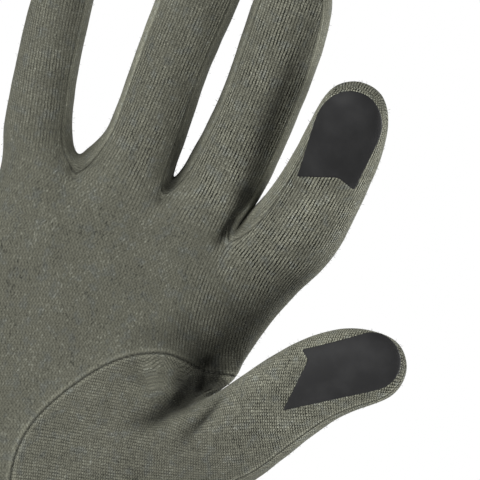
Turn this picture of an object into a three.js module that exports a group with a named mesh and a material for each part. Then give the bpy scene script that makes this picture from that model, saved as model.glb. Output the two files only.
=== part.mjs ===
// A right-hand glove of fine knitted wool with touch-screen pads on the index finger and the thumb.
// It keeps the form it has when worn: fingers spread and curling forward, thumb reaching out in front of the palm.
// The cut pieces are the ones a glove maker sews: a palm panel and a back panel that each run up four fingers,
// a fourchette in each gap between two fingers, a front and a back thumb piece set into a curved seam, and a
// plain wrist cuff.
// All of them are panels of one smooth hollow surface, drawn as a coarse cage and rounded by subdivision.
// Units are millimetres. +Z runs from the wrist to the fingertips, -Y is the palm side, +X is the thumb side,
// and the origin is the centre of the cuff's mouth.
import * as THREE from 'three';

const WALL = 1.2; // thickness of the knitted cloth
const SEAM_GAP = 0.3; // clear space between neighbouring cut pieces
const PAD_CLEARANCE = 0.45; // space between a touch pad and the knit under it
const PAD_THICKNESS = 0.6;
const ROUNDING_STEPS = 1; // subdivision steps from the cage to the solids
const RING_SWELL = 1.066; // a cage ring of ten or eleven points shrinks by this much when it is rounded

const KNIT = { color: 0x63645a, roughness: 0.95, metalness: 0 };
const FILM = { color: 0x2b2b2d, roughness: 0.55, metalness: 0 };

// Turns rows of numbers into objects with the named columns.
function table(columns, rows) {
  return rows.map((row) => Object.fromEntries(columns.map((name, i) => [name, row[i]])));
}

// Sections across the hand from the cuff line up to the row just under the finger roots.
// The palm panel ends at frontSeamX and the back panel at backSeamX, where the thumb pieces take over.
const HAND_ROWS = table(
  ['z', 'ulnarX', 'radialX', 'frontSeamX', 'backSeamX', 'frontDepth', 'backDepth', 'squareness'],
  [
    [56, -32, 32, -11, 19, 20.5, 20, 2.2],
    [73, -38.5, 36, -17.5, 20, 19, 18.5, 2.4],
    [90, -43.5, 35, -15.5, 19, 16.5, 17, 2.6],
    [107, -46.5, 33, null, null, 14.5, 15.5, 2.8],
    [121, -48, 32, null, null, 13.5, 15, 3],
    [135, -49, 34.2, null, null, 13.5, 14.5, 3.2],
    [147, -50.3, 39, null, null, 13.5, 13.5, 3.4],
  ],
);
const CORNER_ROW = 3; // the row where the thumb seam turns across the palm
const KNUCKLE_ROW = 6; // the row that the fingers grow from
const FRONT_CORNER_COLUMN = 5;
const BACK_CORNER_COLUMN = 10;
const FIRST_STEP = 0.7; // the first cage line's distance from the hand's side, as a share of the other steps

// The thirteen cage lines of the palm and back panels, from the little finger's side to the index finger's.
// seam* is where a line meets the thumb seam's row, knuckle* where it meets the finger roots.
const HAND_LINES = table(
  ['seamX', 'seamZ', 'backX', 'backZ', 'knuckleX', 'knuckleZ', 'knuckleBackZ', 'dip'],
  [
    [-42.5, 107, -42.5, 107, -45.5, 147.5, 147, 0],
    [-36, 106.5, -37, 107, -40, 148.5, 149, 0],
    [-29, 106, -31, 107.5, -34.5, 150, 150, 0],
    [-21, 105.5, -25, 108, -29.3, 150.5, 149, 3],
    [-12.5, 104.5, -19, 108, -22, 153, 154, 0],
    [-5, 103.5, -13, 108, -14, 155.5, 155.5, 0],
    [0, 110.8, -7, 108, -6.3, 155.5, 153.5, 3],
    [5.2, 114.8, -1, 108, 0.5, 155.5, 156.5, 0],
    [10.5, 117.4, 5, 108, 7.5, 153.5, 155, 0],
    [15.5, 118.2, 11, 108.5, 14, 149, 150.5, 3],
    [20, 118.4, 17, 109.5, 21, 149, 151, 0],
    [24.5, 118, 23, 112.5, 28, 148.5, 149, 0],
    [28.5, 118, 28.5, 116.8, 34.5, 147.5, 147, 0],
  ],
);
const THUMB_WEB = { x: 31.6, y: 0.5, z: 121 };

// Rings along each finger, from just above the root to the last full ring, and the line where the tip closes.
const RING_COLUMNS = ['x', 'y', 'z', 'halfWidth', 'halfDepth'];
const FINGERS = [
  {
    name: 'little',
    web: null,
    rings: table(RING_COLUMNS, [
      [-43.1, -1.5, 155.5, 9.3, 9.6],
      [-45.4, -4.2, 163.5, 8.6, 8.9],
      [-48.2, -8.3, 176, 8.2, 8.2],
      [-50.2, -12.6, 188, 8.1, 7.7],
      [-51.3, -16, 197, 7.8, 7.2],
      [-51.9, -18, 202, 6, 5.4],
    ]),
    tip: { x: -52.4, y: -19.6, z: 205.5 },
  },
  {
    name: 'ring',
    web: { x: -30, y: -1, z: 156 },
    rings: table(RING_COLUMNS, [
      [-16.3, -1.2, 162.5, 10.2, 10.4],
      [-16.8, -4, 174, 10.1, 10],
      [-18.2, -8.8, 188.5, 9.7, 9.5],
      [-18.2, -14.6, 202.5, 10.3, 9.1],
      [-18.1, -20.2, 215, 10.1, 8.3],
      [-18.1, -22.8, 220.5, 7.6, 6.2],
    ]),
    tip: { x: -18.2, y: -24.6, z: 224.4 },
  },
  {
    name: 'middle',
    web: { x: -5.2, y: -0.5, z: 162 },
    rings: table(RING_COLUMNS, [
      [6.8, -1.2, 162.5, 11, 10.9],
      [7.6, -4.4, 174, 10.8, 10.4],
      [7.8, -9.8, 188.5, 10.4, 9.9],
      [6.8, -16.4, 203, 10.9, 9.5],
      [5, -23.2, 216, 10.3, 8.6],
      [4.1, -26, 221.6, 7.7, 6.4],
    ]),
    tip: { x: 3.8, y: -28, z: 225.6 },
  },
  {
    name: 'index',
    web: { x: 16, y: -1, z: 160.5 },
    rings: table(RING_COLUMNS, [
      [28.4, -3.4, 156.5, 12.5, 11.8],
      [30.5, -7.8, 163, 12.2, 11.2],
      [31.3, -14.4, 171.5, 11.2, 10.6],
      [31.9, -22.2, 180.5, 10.7, 10],
      [31.6, -29.8, 189, 10.2, 9.4],
      [30.6, -35.6, 195.2, 8.8, 8],
      [29.6, -38.8, 198.4, 6.2, 5.8],
    ]),
    tip: { x: 28.8, y: -40.8, z: 200.6 },
  },
];

// The thumb, from its root in the ball of the thumb to the last full ring.
const THUMB_RINGS = table(RING_COLUMNS, [
  [35.4, -24.5, 102.6, 12.5, 13.5],
  [40.2, -30, 111, 11.7, 12.4],
  [44.8, -35.5, 120, 11.4, 11.2],
  [49.8, -40.4, 128.2, 11, 10.3],
  [56, -45, 134.6, 10.7, 9.4],
  [63, -48.2, 137.8, 8.8, 8],
  [66.6, -49.6, 139.2, 6.2, 5.8],
]);
const THUMB_TIP = { x: 69.2, y: -50.4, z: 140 };
const THUMB_TO_WEB = new THREE.Vector3(-0.8, 0, 0.6); // from the thumb towards the index finger
// The ball of the thumb lies between its seam and the root ring, and swells out of the palm.
const THUMB_BALL = { share: 0.5, swell: 7, swellDirection: [-0.3, -0.86, -0.4] };
// Where the eleven points of a thumb ring lie around it: 0 faces the index finger, 90 is the palm side.
const THUMB_ANGLES = [145, 115, 85, 60, 35, 15, -15, -50, -90, -130, -175];
// The front piece lies between the first point and this one, and the back piece goes on round the outside.
const THUMB_SEAM_COLUMN = 6;

// The thumb pieces' lower edge, round the thumb's side of the wrist from the back to the palm.
const CUFF_LINE = table(
  ['x', 'y'],
  [
    [28.5, 12.5],
    [33, 2.5],
    [28, -12.5],
    [10, -20.5],
  ],
);

const CUFF_ROWS = table(
  ['z', 'halfWidth', 'halfDepth'],
  [
    [30, 31.5, 21],
    [0, 34.5, 24],
  ],
);

const point = (p) => new THREE.Vector3(p.x, p.y, p.z);
const mix = (a, b, t) => a.clone().lerp(b, t);
const radians = THREE.MathUtils.degToRad;

// The coarse cage: points, and faces that each belong to one named panel.
const cage = { points: [], faces: [] };

function addPoint(position) {
  cage.points.push(position);
  return cage.points.length - 1;
}

function addFace(panel, ...corners) {
  cage.faces.push({ panel, corners });
}

// A strip of quads between two lines of points, with the second line on the right of the first.
function addStrip(panelOf, left, right) {
  for (let i = 0; i + 1 < left.length; i += 1) {
    addFace(panelOf(i), left[i], right[i], right[i + 1], left[i + 1]);
  }
}

// Depth of the hand's surface at x in a row: negative on the palm side.
function sectionY(row, x, side) {
  const middle = (row.ulnarX + row.radialX) / 2;
  const reach = (row.radialX - row.ulnarX) / 2;
  const across = Math.min(1, Math.abs(x - middle) / reach);
  const height = (1 - across ** row.squareness) ** (1 / row.squareness);
  return side === 'front' ? -row.frontDepth * height : row.backDepth * height;
}

function handPoint(rowIndex, lineIndex, side) {
  const row = HAND_ROWS[rowIndex];
  const line = HAND_LINES[lineIndex];
  const front = side === 'front';
  let x;
  let z;
  if (rowIndex < CORNER_ROW) {
    const last = front ? FRONT_CORNER_COLUMN : BACK_CORNER_COLUMN;
    const seamX = front ? row.frontSeamX : row.backSeamX;
    x = THREE.MathUtils.lerp(row.ulnarX, seamX, (lineIndex + FIRST_STEP) / (last + FIRST_STEP));
    z = row.z;
  } else {
    const up = (row.z - HAND_ROWS[CORNER_ROW].z) / (HAND_ROWS[KNUCKLE_ROW].z - HAND_ROWS[CORNER_ROW].z);
    x = THREE.MathUtils.lerp(front ? line.seamX : line.backX, line.knuckleX, up);
    z = THREE.MathUtils.lerp(front ? line.seamZ : line.backZ, front ? line.knuckleZ : line.knuckleBackZ, up);
  }
  const dip = rowIndex === KNUCKLE_ROW ? line.dip : 0;
  const y = sectionY(row, x, side) + (front ? dip : -dip);
  return addPoint(new THREE.Vector3(x, y, z));
}

const lastLine = HAND_LINES.length - 1;
const front = HAND_ROWS.map((row, r) =>
  HAND_LINES.map((line, c) => (r < CORNER_ROW && c > FRONT_CORNER_COLUMN ? null : handPoint(r, c, 'front'))),
);
const back = HAND_ROWS.map((row, r) =>
  HAND_LINES.map((line, c) => (r < CORNER_ROW && c > BACK_CORNER_COLUMN ? null : handPoint(r, c, 'back'))),
);
const ulnar = HAND_ROWS.map((row) => addPoint(new THREE.Vector3(row.ulnarX, 0, row.z)));
const radial = HAND_ROWS.map((row, r) => {
  if (r < CORNER_ROW) return null;
  return addPoint(r === CORNER_ROW ? point(THUMB_WEB) : new THREE.Vector3(row.radialX, 0, row.z));
});

// The palm and back panels below the fingers.
for (let r = 0; r < KNUCKLE_ROW; r += 1) {
  const whole = r >= CORNER_ROW;
  const palmRow = (k) => [ulnar[k], ...front[k].slice(0, whole ? undefined : FRONT_CORNER_COLUMN + 1)];
  const backRow = (k) => [ulnar[k], ...back[k].slice(0, whole ? undefined : BACK_CORNER_COLUMN + 1)];
  const palmLower = palmRow(r);
  const palmUpper = palmRow(r + 1).slice(0, palmLower.length);
  const backLower = backRow(r);
  const backUpper = backRow(r + 1).slice(0, backLower.length);
  if (whole) {
    palmLower.push(radial[r]);
    palmUpper.push(radial[r + 1]);
    backLower.push(radial[r]);
    backUpper.push(radial[r + 1]);
  }
  addStrip(() => 'palm_panel', palmUpper, palmLower);
  addStrip(() => 'back_panel', backLower, backUpper);
}

const TIP_ANGLES = [140, 110, 70, 40];
const TIP_ROUNDNESS = 1.5;

// Ten points round a finger. They start on the side of the little finger and pass the palm side first.
const FINGER_ANGLES = [180, 216, 252, 288, 324, 0, 36, 72, 108, 144];

function ringPoints(ring, tangent, angles, sideways, swell = RING_SWELL) {
  const outward = sideways.clone().addScaledVector(tangent, -sideways.dot(tangent)).normalize();
  const behind = new THREE.Vector3().crossVectors(tangent, outward);
  return angles.map((angle) =>
    point(ring)
      .addScaledVector(outward, swell * ring.halfWidth * Math.cos(radians(angle)))
      .addScaledVector(behind, swell * ring.halfDepth * Math.sin(radians(angle))),
  );
}

function tangentsAlong(centres) {
  return centres.map((c, i) => {
    const before = centres[Math.max(0, i - 1)];
    const after = centres[Math.min(centres.length - 1, i + 1)];
    return after.clone().sub(before).normalize();
  });
}

const THUMB_SIDE = new THREE.Vector3(1, 0, 0);
const webs = FINGERS.map((finger) => (finger.web ? addPoint(point(finger.web)) : null));

FINGERS.forEach((finger, f) => {
  const first = 3 * f;
  const isLittle = f === 0;
  const isIndex = f === FINGERS.length - 1;
  const base = [
    isLittle ? ulnar[KNUCKLE_ROW] : webs[f],
    ...front[KNUCKLE_ROW].slice(first, first + 4),
    isIndex ? radial[KNUCKLE_ROW] : webs[f + 1],
    ...back[KNUCKLE_ROW].slice(first, first + 4).reverse(),
  ];
  const fourchetteTo = (other) => `fourchette_${FINGERS[Math.max(f, other)].name}_${FINGERS[Math.min(f, other)].name}`;
  const ulnarSide = isLittle ? ['palm_panel', 'back_panel'] : Array(2).fill(fourchetteTo(f - 1));
  const radialSide = isIndex ? ['palm_panel', 'back_panel'] : Array(2).fill(fourchetteTo(f + 1));
  const panels = [
    ulnarSide[0],
    'palm_panel',
    'palm_panel',
    'palm_panel',
    radialSide[0],
    radialSide[1],
    'back_panel',
    'back_panel',
    'back_panel',
    ulnarSide[1],
  ];
  const tangents = tangentsAlong([...finger.rings.map(point), point(finger.tip)]);
  let lower = base;
  finger.rings.forEach((ring, k) => {
    const upper = ringPoints(ring, tangents[k], FINGER_ANGLES, THUMB_SIDE).map(addPoint);
    addStrip((i) => panels[i], [...upper, upper[0]], [...lower, lower[0]]);
    lower = upper;
  });
  // The tip closes on a short line of four points between the palm panel and the back panel.
  const last = finger.rings[finger.rings.length - 1];
  const tipTangent = tangents[tangents.length - 1];
  const tipRing = { ...finger.tip, halfWidth: last.halfWidth, halfDepth: 0 };
  const closing = ringPoints(tipRing, tipTangent, TIP_ANGLES, THUMB_SIDE, 1).map((p, i) => {
    const drop = TIP_ROUNDNESS * last.halfWidth * (1 - Math.sin(radians(TIP_ANGLES[i])));
    return addPoint(p.addScaledVector(tipTangent, -drop));
  });
  const [ulnarEnd, p0, p1, p2, p3, radialEnd, b3, b2, b1, b0] = lower;
  addStrip(() => 'palm_panel', closing, [p0, p1, p2, p3]);
  addStrip(() => 'back_panel', [b0, b1, b2, b3], closing);
  addFace('palm_panel', ulnarEnd, p0, closing[0]);
  addFace('back_panel', b0, ulnarEnd, closing[0]);
  addFace('palm_panel', p3, radialEnd, closing[3]);
  addFace('back_panel', radialEnd, b3, closing[3]);
});

// The thumb pieces start on a long loop: up their seam on the palm, over the web, down their seam on the back,
// and along the cuff line on the thumb's side.
const cuffLine = CUFF_LINE.map((p) => addPoint(new THREE.Vector3(p.x, p.y, HAND_ROWS[0].z)));
const thumbLoop = [
  ...[0, 1, 2].map((r) => front[r][FRONT_CORNER_COLUMN]),
  ...front[CORNER_ROW].slice(FRONT_CORNER_COLUMN),
  radial[CORNER_ROW],
  ...back[CORNER_ROW].slice(BACK_CORNER_COLUMN).reverse(),
  ...[2, 1, 0].map((r) => back[r][BACK_CORNER_COLUMN]),
  ...cuffLine,
];

const thumbTangents = tangentsAlong([...THUMB_RINGS.map(point), point(THUMB_TIP)]);

// Angles of all loop points: every other one is a ring point's angle, and the rest lie half-way.
const loopAngles = thumbLoop.map((_, i) => {
  const a = THUMB_ANGLES[Math.floor(i / 2)];
  const b = i / 2 + 1 < THUMB_ANGLES.length ? THUMB_ANGLES[Math.floor(i / 2) + 1] : THUMB_ANGLES[0] - 360;
  return i % 2 === 0 ? a : (a + b) / 2;
});
const rootRing = ringPoints(THUMB_RINGS[0], thumbTangents[0], loopAngles, THUMB_TO_WEB);
const swellDirection = new THREE.Vector3(...THUMB_BALL.swellDirection);
const ball = thumbLoop.map((index, i) => {
  const swell = THUMB_BALL.swell * Math.max(0, Math.sin(radians(loopAngles[i]))) ** 2;
  const position = mix(cage.points[index], rootRing[i], THUMB_BALL.share);
  return addPoint(position.addScaledVector(swellDirection, swell));
});
const thumbPiece = (column) => (column < THUMB_SEAM_COLUMN ? 'thumb_front' : 'thumb_back');
addStrip((i) => thumbPiece(i / 2), [...thumbLoop, thumbLoop[0]], [...ball, ball[0]]);

let thumbLower = null;
THUMB_RINGS.forEach((ring, k) => {
  const upper = ringPoints(ring, thumbTangents[k], THUMB_ANGLES, THUMB_TO_WEB).map(addPoint);
  if (thumbLower) {
    addStrip(thumbPiece, [...thumbLower, thumbLower[0]], [...upper, upper[0]]);
  } else {
    // Two edges of the ball meet one edge of the first ring.
    upper.forEach((p, j) => {
      const next = upper[(j + 1) % upper.length];
      addFace(thumbPiece(j), ball[2 * j], p, next, ball[(2 * j + 2) % ball.length], ball[2 * j + 1]);
    });
  }
  thumbLower = upper;
});
const thumbEnd = addPoint(point(THUMB_TIP));
thumbLower.forEach((p, j) => {
  addFace(thumbPiece(j), p, thumbEnd, thumbLower[(j + 1) % thumbLower.length]);
});

// The cuff hangs from the row that the palm, back and thumb pieces end on.
let cuffUpper = [
  ulnar[0],
  ...front[0].slice(0, FRONT_CORNER_COLUMN + 1),
  ...cuffLine.slice().reverse(),
  ...back[0].slice(0, BACK_CORNER_COLUMN + 1).reverse(),
];
const cuffTop = cuffUpper.map((index) => cage.points[index]);
CUFF_ROWS.forEach((row) => {
  const lower = cuffTop.map((p) => {
    const angle = Math.atan2(p.y, p.x);
    const cos = Math.cos(angle) / row.halfWidth;
    const sin = Math.sin(angle) / row.halfDepth;
    const reach = 1 / Math.hypot(cos, sin);
    return addPoint(new THREE.Vector3(reach * Math.cos(angle), reach * Math.sin(angle), row.z));
  });
  addStrip(() => 'cuff', [...cuffUpper, cuffUpper[0]], [...lower, lower[0]]);
  cuffUpper = lower;
});

// Neighbours of each point of a mesh: the faces round it and the points along its edges.
function neighbours(mesh) {
  const around = mesh.points.map(() => ({ faces: [], edges: new Map() }));
  mesh.faces.forEach((face, index) => {
    face.corners.forEach((corner, i) => {
      const next = face.corners[(i + 1) % face.corners.length];
      around[corner].faces.push(index);
      around[corner].edges.set(next, (around[corner].edges.get(next) ?? 0) + 1);
      around[next].edges.set(corner, (around[next].edges.get(corner) ?? 0) + 1);
    });
  });
  return around;
}

const rimOf = (edges) => [...edges].filter(([, uses]) => uses === 1).map(([other]) => other);

function average(points) {
  return points.reduce((sum, p) => sum.add(p), new THREE.Vector3()).divideScalar(points.length);
}

// One Catmull-Clark step.
function subdivide(mesh) {
  const around = neighbours(mesh);
  const centres = mesh.faces.map((face) => average(face.corners.map((c) => mesh.points[c])));
  const points = mesh.points.map((p, i) => {
    const rim = rimOf(around[i].edges);
    if (rim.length) {
      return p.clone().multiplyScalar(6).add(mesh.points[rim[0]]).add(mesh.points[rim[1]]).divideScalar(8);
    }
    const n = around[i].edges.size;
    const faceMean = average(around[i].faces.map((f) => centres[f]));
    const edgeMean = average([...around[i].edges.keys()].map((e) => mix(p, mesh.points[e], 0.5)));
    return faceMean.addScaledVector(edgeMean, 2).addScaledVector(p, n - 3).divideScalar(n);
  });
  const facePoint = centres.map((c) => points.push(c) - 1);
  const facesOfEdge = new Map();
  const edgeKey = (a, b) => (a < b ? `${a} ${b}` : `${b} ${a}`);
  mesh.faces.forEach((face, index) => {
    face.corners.forEach((corner, i) => {
      const key = edgeKey(corner, face.corners[(i + 1) % face.corners.length]);
      facesOfEdge.set(key, [...(facesOfEdge.get(key) ?? []), index]);
    });
  });
  const edgePoint = new Map();
  facesOfEdge.forEach((faces, key) => {
    const ends = key.split(' ').map((e) => mesh.points[Number(e)]);
    const position = faces.length === 2 ? average([...ends, ...faces.map((f) => centres[f])]) : average(ends);
    edgePoint.set(key, points.push(position) - 1);
  });
  const faces = [];
  mesh.faces.forEach((face, index) => {
    const count = face.corners.length;
    face.corners.forEach((corner, i) => {
      const after = edgePoint.get(edgeKey(corner, face.corners[(i + 1) % count]));
      const before = edgePoint.get(edgeKey(corner, face.corners[(i + count - 1) % count]));
      faces.push({ panel: face.panel, corners: [corner, after, facePoint[index], before] });
    });
  });
  return { points, faces };
}

// Moves the points of a mesh of quads onto the smooth surface that further steps would reach.
function settle(mesh) {
  const around = neighbours(mesh);
  const points = mesh.points.map((p, i) => {
    const rim = rimOf(around[i].edges);
    if (rim.length) {
      return p.clone().multiplyScalar(4).add(mesh.points[rim[0]]).add(mesh.points[rim[1]]).divideScalar(6);
    }
    const n = around[i].edges.size;
    const sum = p.clone().multiplyScalar(n * n);
    [...around[i].edges.keys()].forEach((e) => sum.addScaledVector(mesh.points[e], 4));
    around[i].faces.forEach((f) => {
      const { corners } = mesh.faces[f];
      sum.add(mesh.points[corners[(corners.indexOf(i) + 2) % 4]]);
    });
    return sum.divideScalar(n * (n + 5));
  });
  return { points, faces: mesh.faces };
}

function pointNormals(mesh) {
  const normals = mesh.points.map(() => new THREE.Vector3());
  mesh.faces.forEach(({ corners }) => {
    const [a, b, c, d] = corners.map((i) => mesh.points[i]);
    const normal = new THREE.Vector3().crossVectors(c.clone().sub(a), d.clone().sub(b));
    corners.forEach((i) => normals[i].add(normal));
  });
  return normals.map((n) => n.normalize());
}

let glove = cage;
for (let step = 0; step < ROUNDING_STEPS; step += 1) glove = subdivide(glove);
glove = settle(glove);
const gloveNormals = pointNormals(glove);

// Splits a quad along its shorter diagonal.
function triangles(corners, points) {
  const [a, b, c, d] = corners;
  const short = points[a].distanceTo(points[c]) <= points[b].distanceTo(points[d]);
  return short ? [[a, b, c], [a, c, d]] : [[a, b, d], [b, c, d]];
}

// A closed solid between an outer sheet of quads and the same sheet moved inward.
function solidFromSheets(outer, inner, quads) {
  const used = new Map();
  quads.flat().forEach((i) => {
    if (!used.has(i)) used.set(i, used.size);
  });
  const count = used.size;
  const positions = new Float32Array(6 * count);
  used.forEach((slot, i) => {
    outer[i].toArray(positions, 3 * slot);
    inner[i].toArray(positions, 3 * (slot + count));
  });
  const index = [];
  const edges = new Map();
  quads.forEach((corners) => {
    triangles(corners, outer).forEach((t) => {
      const [a, b, c] = t.map((i) => used.get(i));
      index.push(a, b, c, c + count, b + count, a + count);
    });
    corners.forEach((corner, i) => {
      const next = corners[(i + 1) % 4];
      if (edges.has(`${next} ${corner}`)) edges.delete(`${next} ${corner}`);
      else edges.set(`${corner} ${next}`, [corner, next]);
    });
  });
  // Two panels that share a seam split its side wall along the same diagonals.
  edges.forEach(([from, to]) => {
    const [a, b] = [used.get(from), used.get(to)];
    if (from < to) index.push(b, a, a + count, b, a + count, b + count);
    else index.push(b, a, b + count, a, a + count, b + count);
  });
  const geometry = new THREE.BufferGeometry();
  geometry.setAttribute('position', new THREE.BufferAttribute(positions, 3));
  geometry.setIndex(index);
  geometry.computeVertexNormals();
  return geometry;
}

// One cut piece: its faces of the glove, drawn in from its seams by half the gap, and given the cloth's thickness.
function panelGeometry(panel) {
  const quads = glove.faces.filter((face) => face.panel === panel).map((face) => face.corners);
  const edges = new Map();
  const inward = new Map();
  quads.forEach((corners) => {
    const centre = average(corners.map((i) => glove.points[i]));
    corners.forEach((corner, i) => {
      const next = corners[(i + 1) % 4];
      if (edges.has(`${next} ${corner}`)) edges.delete(`${next} ${corner}`);
      else edges.set(`${corner} ${next}`, [corner, next]);
      inward.set(corner, [...(inward.get(corner) ?? []), centre.clone().sub(glove.points[corner])]);
    });
  });
  const along = new Map();
  edges.forEach(([a, b]) => {
    const run = glove.points[b].clone().sub(glove.points[a]).normalize();
    [a, b].forEach((i) => along.set(i, (along.get(i) ?? new THREE.Vector3()).add(run)));
  });
  const outer = [];
  const inner = [];
  inward.forEach((steps, i) => {
    const position = glove.points[i].clone();
    const normal = gloveNormals[i];
    if (along.has(i)) {
      const run = along.get(i).clone().normalize();
      const step = average(steps);
      step.addScaledVector(run, -step.dot(run)).addScaledVector(normal, -step.dot(normal));
      position.addScaledVector(step.normalize(), SEAM_GAP / 2);
    }
    outer[i] = position;
    inner[i] = position.clone().addScaledVector(normal, -WALL);
  });
  return solidFromSheets(outer, inner, quads);
}

const FAR_AWAY = 500; // a distance outside the glove

// Where a line along Y at x, z first meets the palm side of the glove.
function palmSurface(x, z) {
  const ray = new THREE.Ray(new THREE.Vector3(x, -FAR_AWAY, z), new THREE.Vector3(0, 1, 0));
  const hit = new THREE.Vector3();
  let nearest = null;
  glove.faces.forEach(({ corners }) => {
    triangles(corners, glove.points).forEach((t) => {
      const [a, b, c] = t.map((i) => glove.points[i]);
      if (ray.intersectTriangle(a, b, c, false, hit) && (!nearest || hit.y < nearest.point.y)) {
        const normal = new THREE.Vector3().crossVectors(b.clone().sub(a), c.clone().sub(a)).normalize();
        nearest = { point: hit.clone(), normal };
      }
    });
  });
  return nearest;
}

// A touch pad: straight sides, a round end towards the fingertip and a notched end towards the palm.
// Its outline is laid out flat in the plane that faces the viewer of the palm, then laid on the finger.
const PADS = [
  {
    name: 'touch_pad_index',
    centre: { x: 31, z: 186 },
    lean: 4,
    halfWidth: 8.2,
    lowerHalfWidth: 6.8,
    sideTop: 4,
    archHeight: 8.6,
    lowerLeft: -12.3,
    notch: { across: 0.26, along: -8.8 },
    lowerRight: -10.2,
  },
  {
    name: 'touch_pad_thumb',
    centre: { x: 54.3, z: 133.9 },
    lean: -52,
    halfWidth: 6.9,
    lowerHalfWidth: 6.7,
    sideTop: 6.5,
    archHeight: 7.2,
    lowerLeft: -9.2,
    notch: { across: -0.6, along: -8.3 },
    lowerRight: -17.6,
  },
];
const PAD_COLUMNS = 10;
const PAD_ROWS = 10;
const PAD_SMOOTHING = 2; // rows and columns on each side over which the pad's normals are averaged

function padGeometry(pad) {
  const lean = radians(pad.lean);
  const points = [];
  const normals = [];
  for (let i = 0; i <= PAD_COLUMNS; i += 1) {
    const across = -Math.cos((Math.PI * i) / PAD_COLUMNS);
    const top = pad.sideTop + pad.archHeight * Math.sqrt(Math.max(0, 1 - across * across));
    const { notch } = pad;
    const bottom =
      across < notch.across
        ? THREE.MathUtils.mapLinear(across, -1, notch.across, pad.lowerLeft, notch.along)
        : THREE.MathUtils.mapLinear(across, notch.across, 1, notch.along, pad.lowerRight);
    for (let j = 0; j <= PAD_ROWS; j += 1) {
      const along = THREE.MathUtils.lerp(bottom, top, j / PAD_ROWS);
      const upperShare = THREE.MathUtils.smoothstep(along, pad.lowerLeft, pad.sideTop);
      const sideways = across * THREE.MathUtils.lerp(pad.lowerHalfWidth, pad.halfWidth, upperShare);
      const x = pad.centre.x + sideways * Math.cos(lean) - along * Math.sin(lean);
      const z = pad.centre.z + sideways * Math.sin(lean) + along * Math.cos(lean);
      const hit = palmSurface(x, z);
      points.push(hit.point);
      normals.push(hit.normal);
    }
  }
  const at = (i, j) => i * (PAD_ROWS + 1) + j;
  const quads = [];
  for (let i = 0; i < PAD_COLUMNS; i += 1) {
    for (let j = 0; j < PAD_ROWS; j += 1) quads.push([at(i, j), at(i + 1, j), at(i + 1, j + 1), at(i, j + 1)]);
  }
  // The facets' normals are averaged over the neighbouring points, so that the pad is smooth.
  const smooth = normals.map((_, k) => {
    const i = Math.floor(k / (PAD_ROWS + 1));
    const j = k % (PAD_ROWS + 1);
    const near = [];
    for (let di = -PAD_SMOOTHING; di <= PAD_SMOOTHING; di += 1) {
      for (let dj = -PAD_SMOOTHING; dj <= PAD_SMOOTHING; dj += 1) {
        const inside = i + di >= 0 && i + di <= PAD_COLUMNS && j + dj >= 0 && j + dj <= PAD_ROWS;
        if (inside) near.push(normals[at(i + di, j + dj)]);
      }
    }
    return average(near).normalize();
  });
  const raise = (height) => points.map((p, k) => p.clone().addScaledVector(smooth[k], height));
  return solidFromSheets(raise(PAD_CLEARANCE + PAD_THICKNESS), raise(PAD_CLEARANCE), quads);
}

const part = new THREE.Group();

function addPiece(name, geometry, finish) {
  const mesh = new THREE.Mesh(geometry, new THREE.MeshStandardMaterial(finish));
  mesh.name = name;
  part.add(mesh);
}

const panelNames = [...new Set(glove.faces.map((face) => face.panel))];
panelNames.forEach((name) => addPiece(name, panelGeometry(name), KNIT));
PADS.forEach((pad) => addPiece(pad.name, padGeometry(pad), FILM));

export default part;
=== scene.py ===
"""A right-hand glove of fine knitted wool with smooth touch pads, held up in the form it has on a hand.

The glove is sewn from cut pieces of jersey: a palm and a back that each run up four fingers, a fourchette
in each gap between two fingers, a front and a back piece for the thumb, and a plain cuff. All of them are
panels of one smooth surface that is drawn as a coarse cage. Lengths in the tables are millimetres.
"""

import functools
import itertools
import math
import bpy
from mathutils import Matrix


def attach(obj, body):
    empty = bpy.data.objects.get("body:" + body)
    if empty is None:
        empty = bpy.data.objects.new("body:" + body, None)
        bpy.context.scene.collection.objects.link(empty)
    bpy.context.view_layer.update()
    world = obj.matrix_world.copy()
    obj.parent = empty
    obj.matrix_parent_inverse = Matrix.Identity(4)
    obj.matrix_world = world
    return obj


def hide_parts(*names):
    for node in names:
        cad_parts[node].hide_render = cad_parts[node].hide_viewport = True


bl_info = {
    "name": "Wool Glove",
    "version": (1, 0, 0),
    "blender": (4, 5, 0),
    "location": "3D View > Sidebar > Wool Glove",
    "description": "Builds a knitted wool glove with touch pads round its packed frame",
    "category": "Object",
}

import bpy
import numpy as np
from mathutils import Matrix, Vector, noise
from mathutils.bvhtree import BVHTree
from mathutils.kdtree import KDTree

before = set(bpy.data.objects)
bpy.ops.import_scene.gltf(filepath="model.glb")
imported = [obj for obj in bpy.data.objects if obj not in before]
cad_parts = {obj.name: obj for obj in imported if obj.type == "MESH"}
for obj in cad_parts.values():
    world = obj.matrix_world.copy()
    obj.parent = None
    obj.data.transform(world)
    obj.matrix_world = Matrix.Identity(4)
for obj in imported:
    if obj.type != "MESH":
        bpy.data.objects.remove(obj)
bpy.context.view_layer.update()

MM = 0.001
BODY = "root"
CLOTH_UV = "cloth"


def table(columns, *rows):
    """Rows of values as dicts with the named columns."""
    return [dict(zip(columns.split(), row)) for row in rows]


# The hand below the fingers. The palm piece ends at front_seam_x and the back piece at back_seam_x.
HAND_ROWS = table(
    "z ulnar_x radial_x front_seam_x back_seam_x front_depth back_depth squareness",
    (56, -32, 32, -11, 19, 20.5, 20, 2.2),
    (73, -38.5, 36, -17.5, 20, 19, 18.5, 2.4),
    (90, -43.5, 35, -15.5, 19, 16.5, 17, 2.6),
    (107, -46.5, 33, None, None, 14.5, 15.5, 2.8),
    (121, -48, 32, None, None, 13.5, 15, 3),
    (135, -49, 34.2, None, None, 13.5, 14.5, 3.2),
    (147, -50.3, 39, None, None, 13.5, 13.5, 3.4),
)
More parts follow.
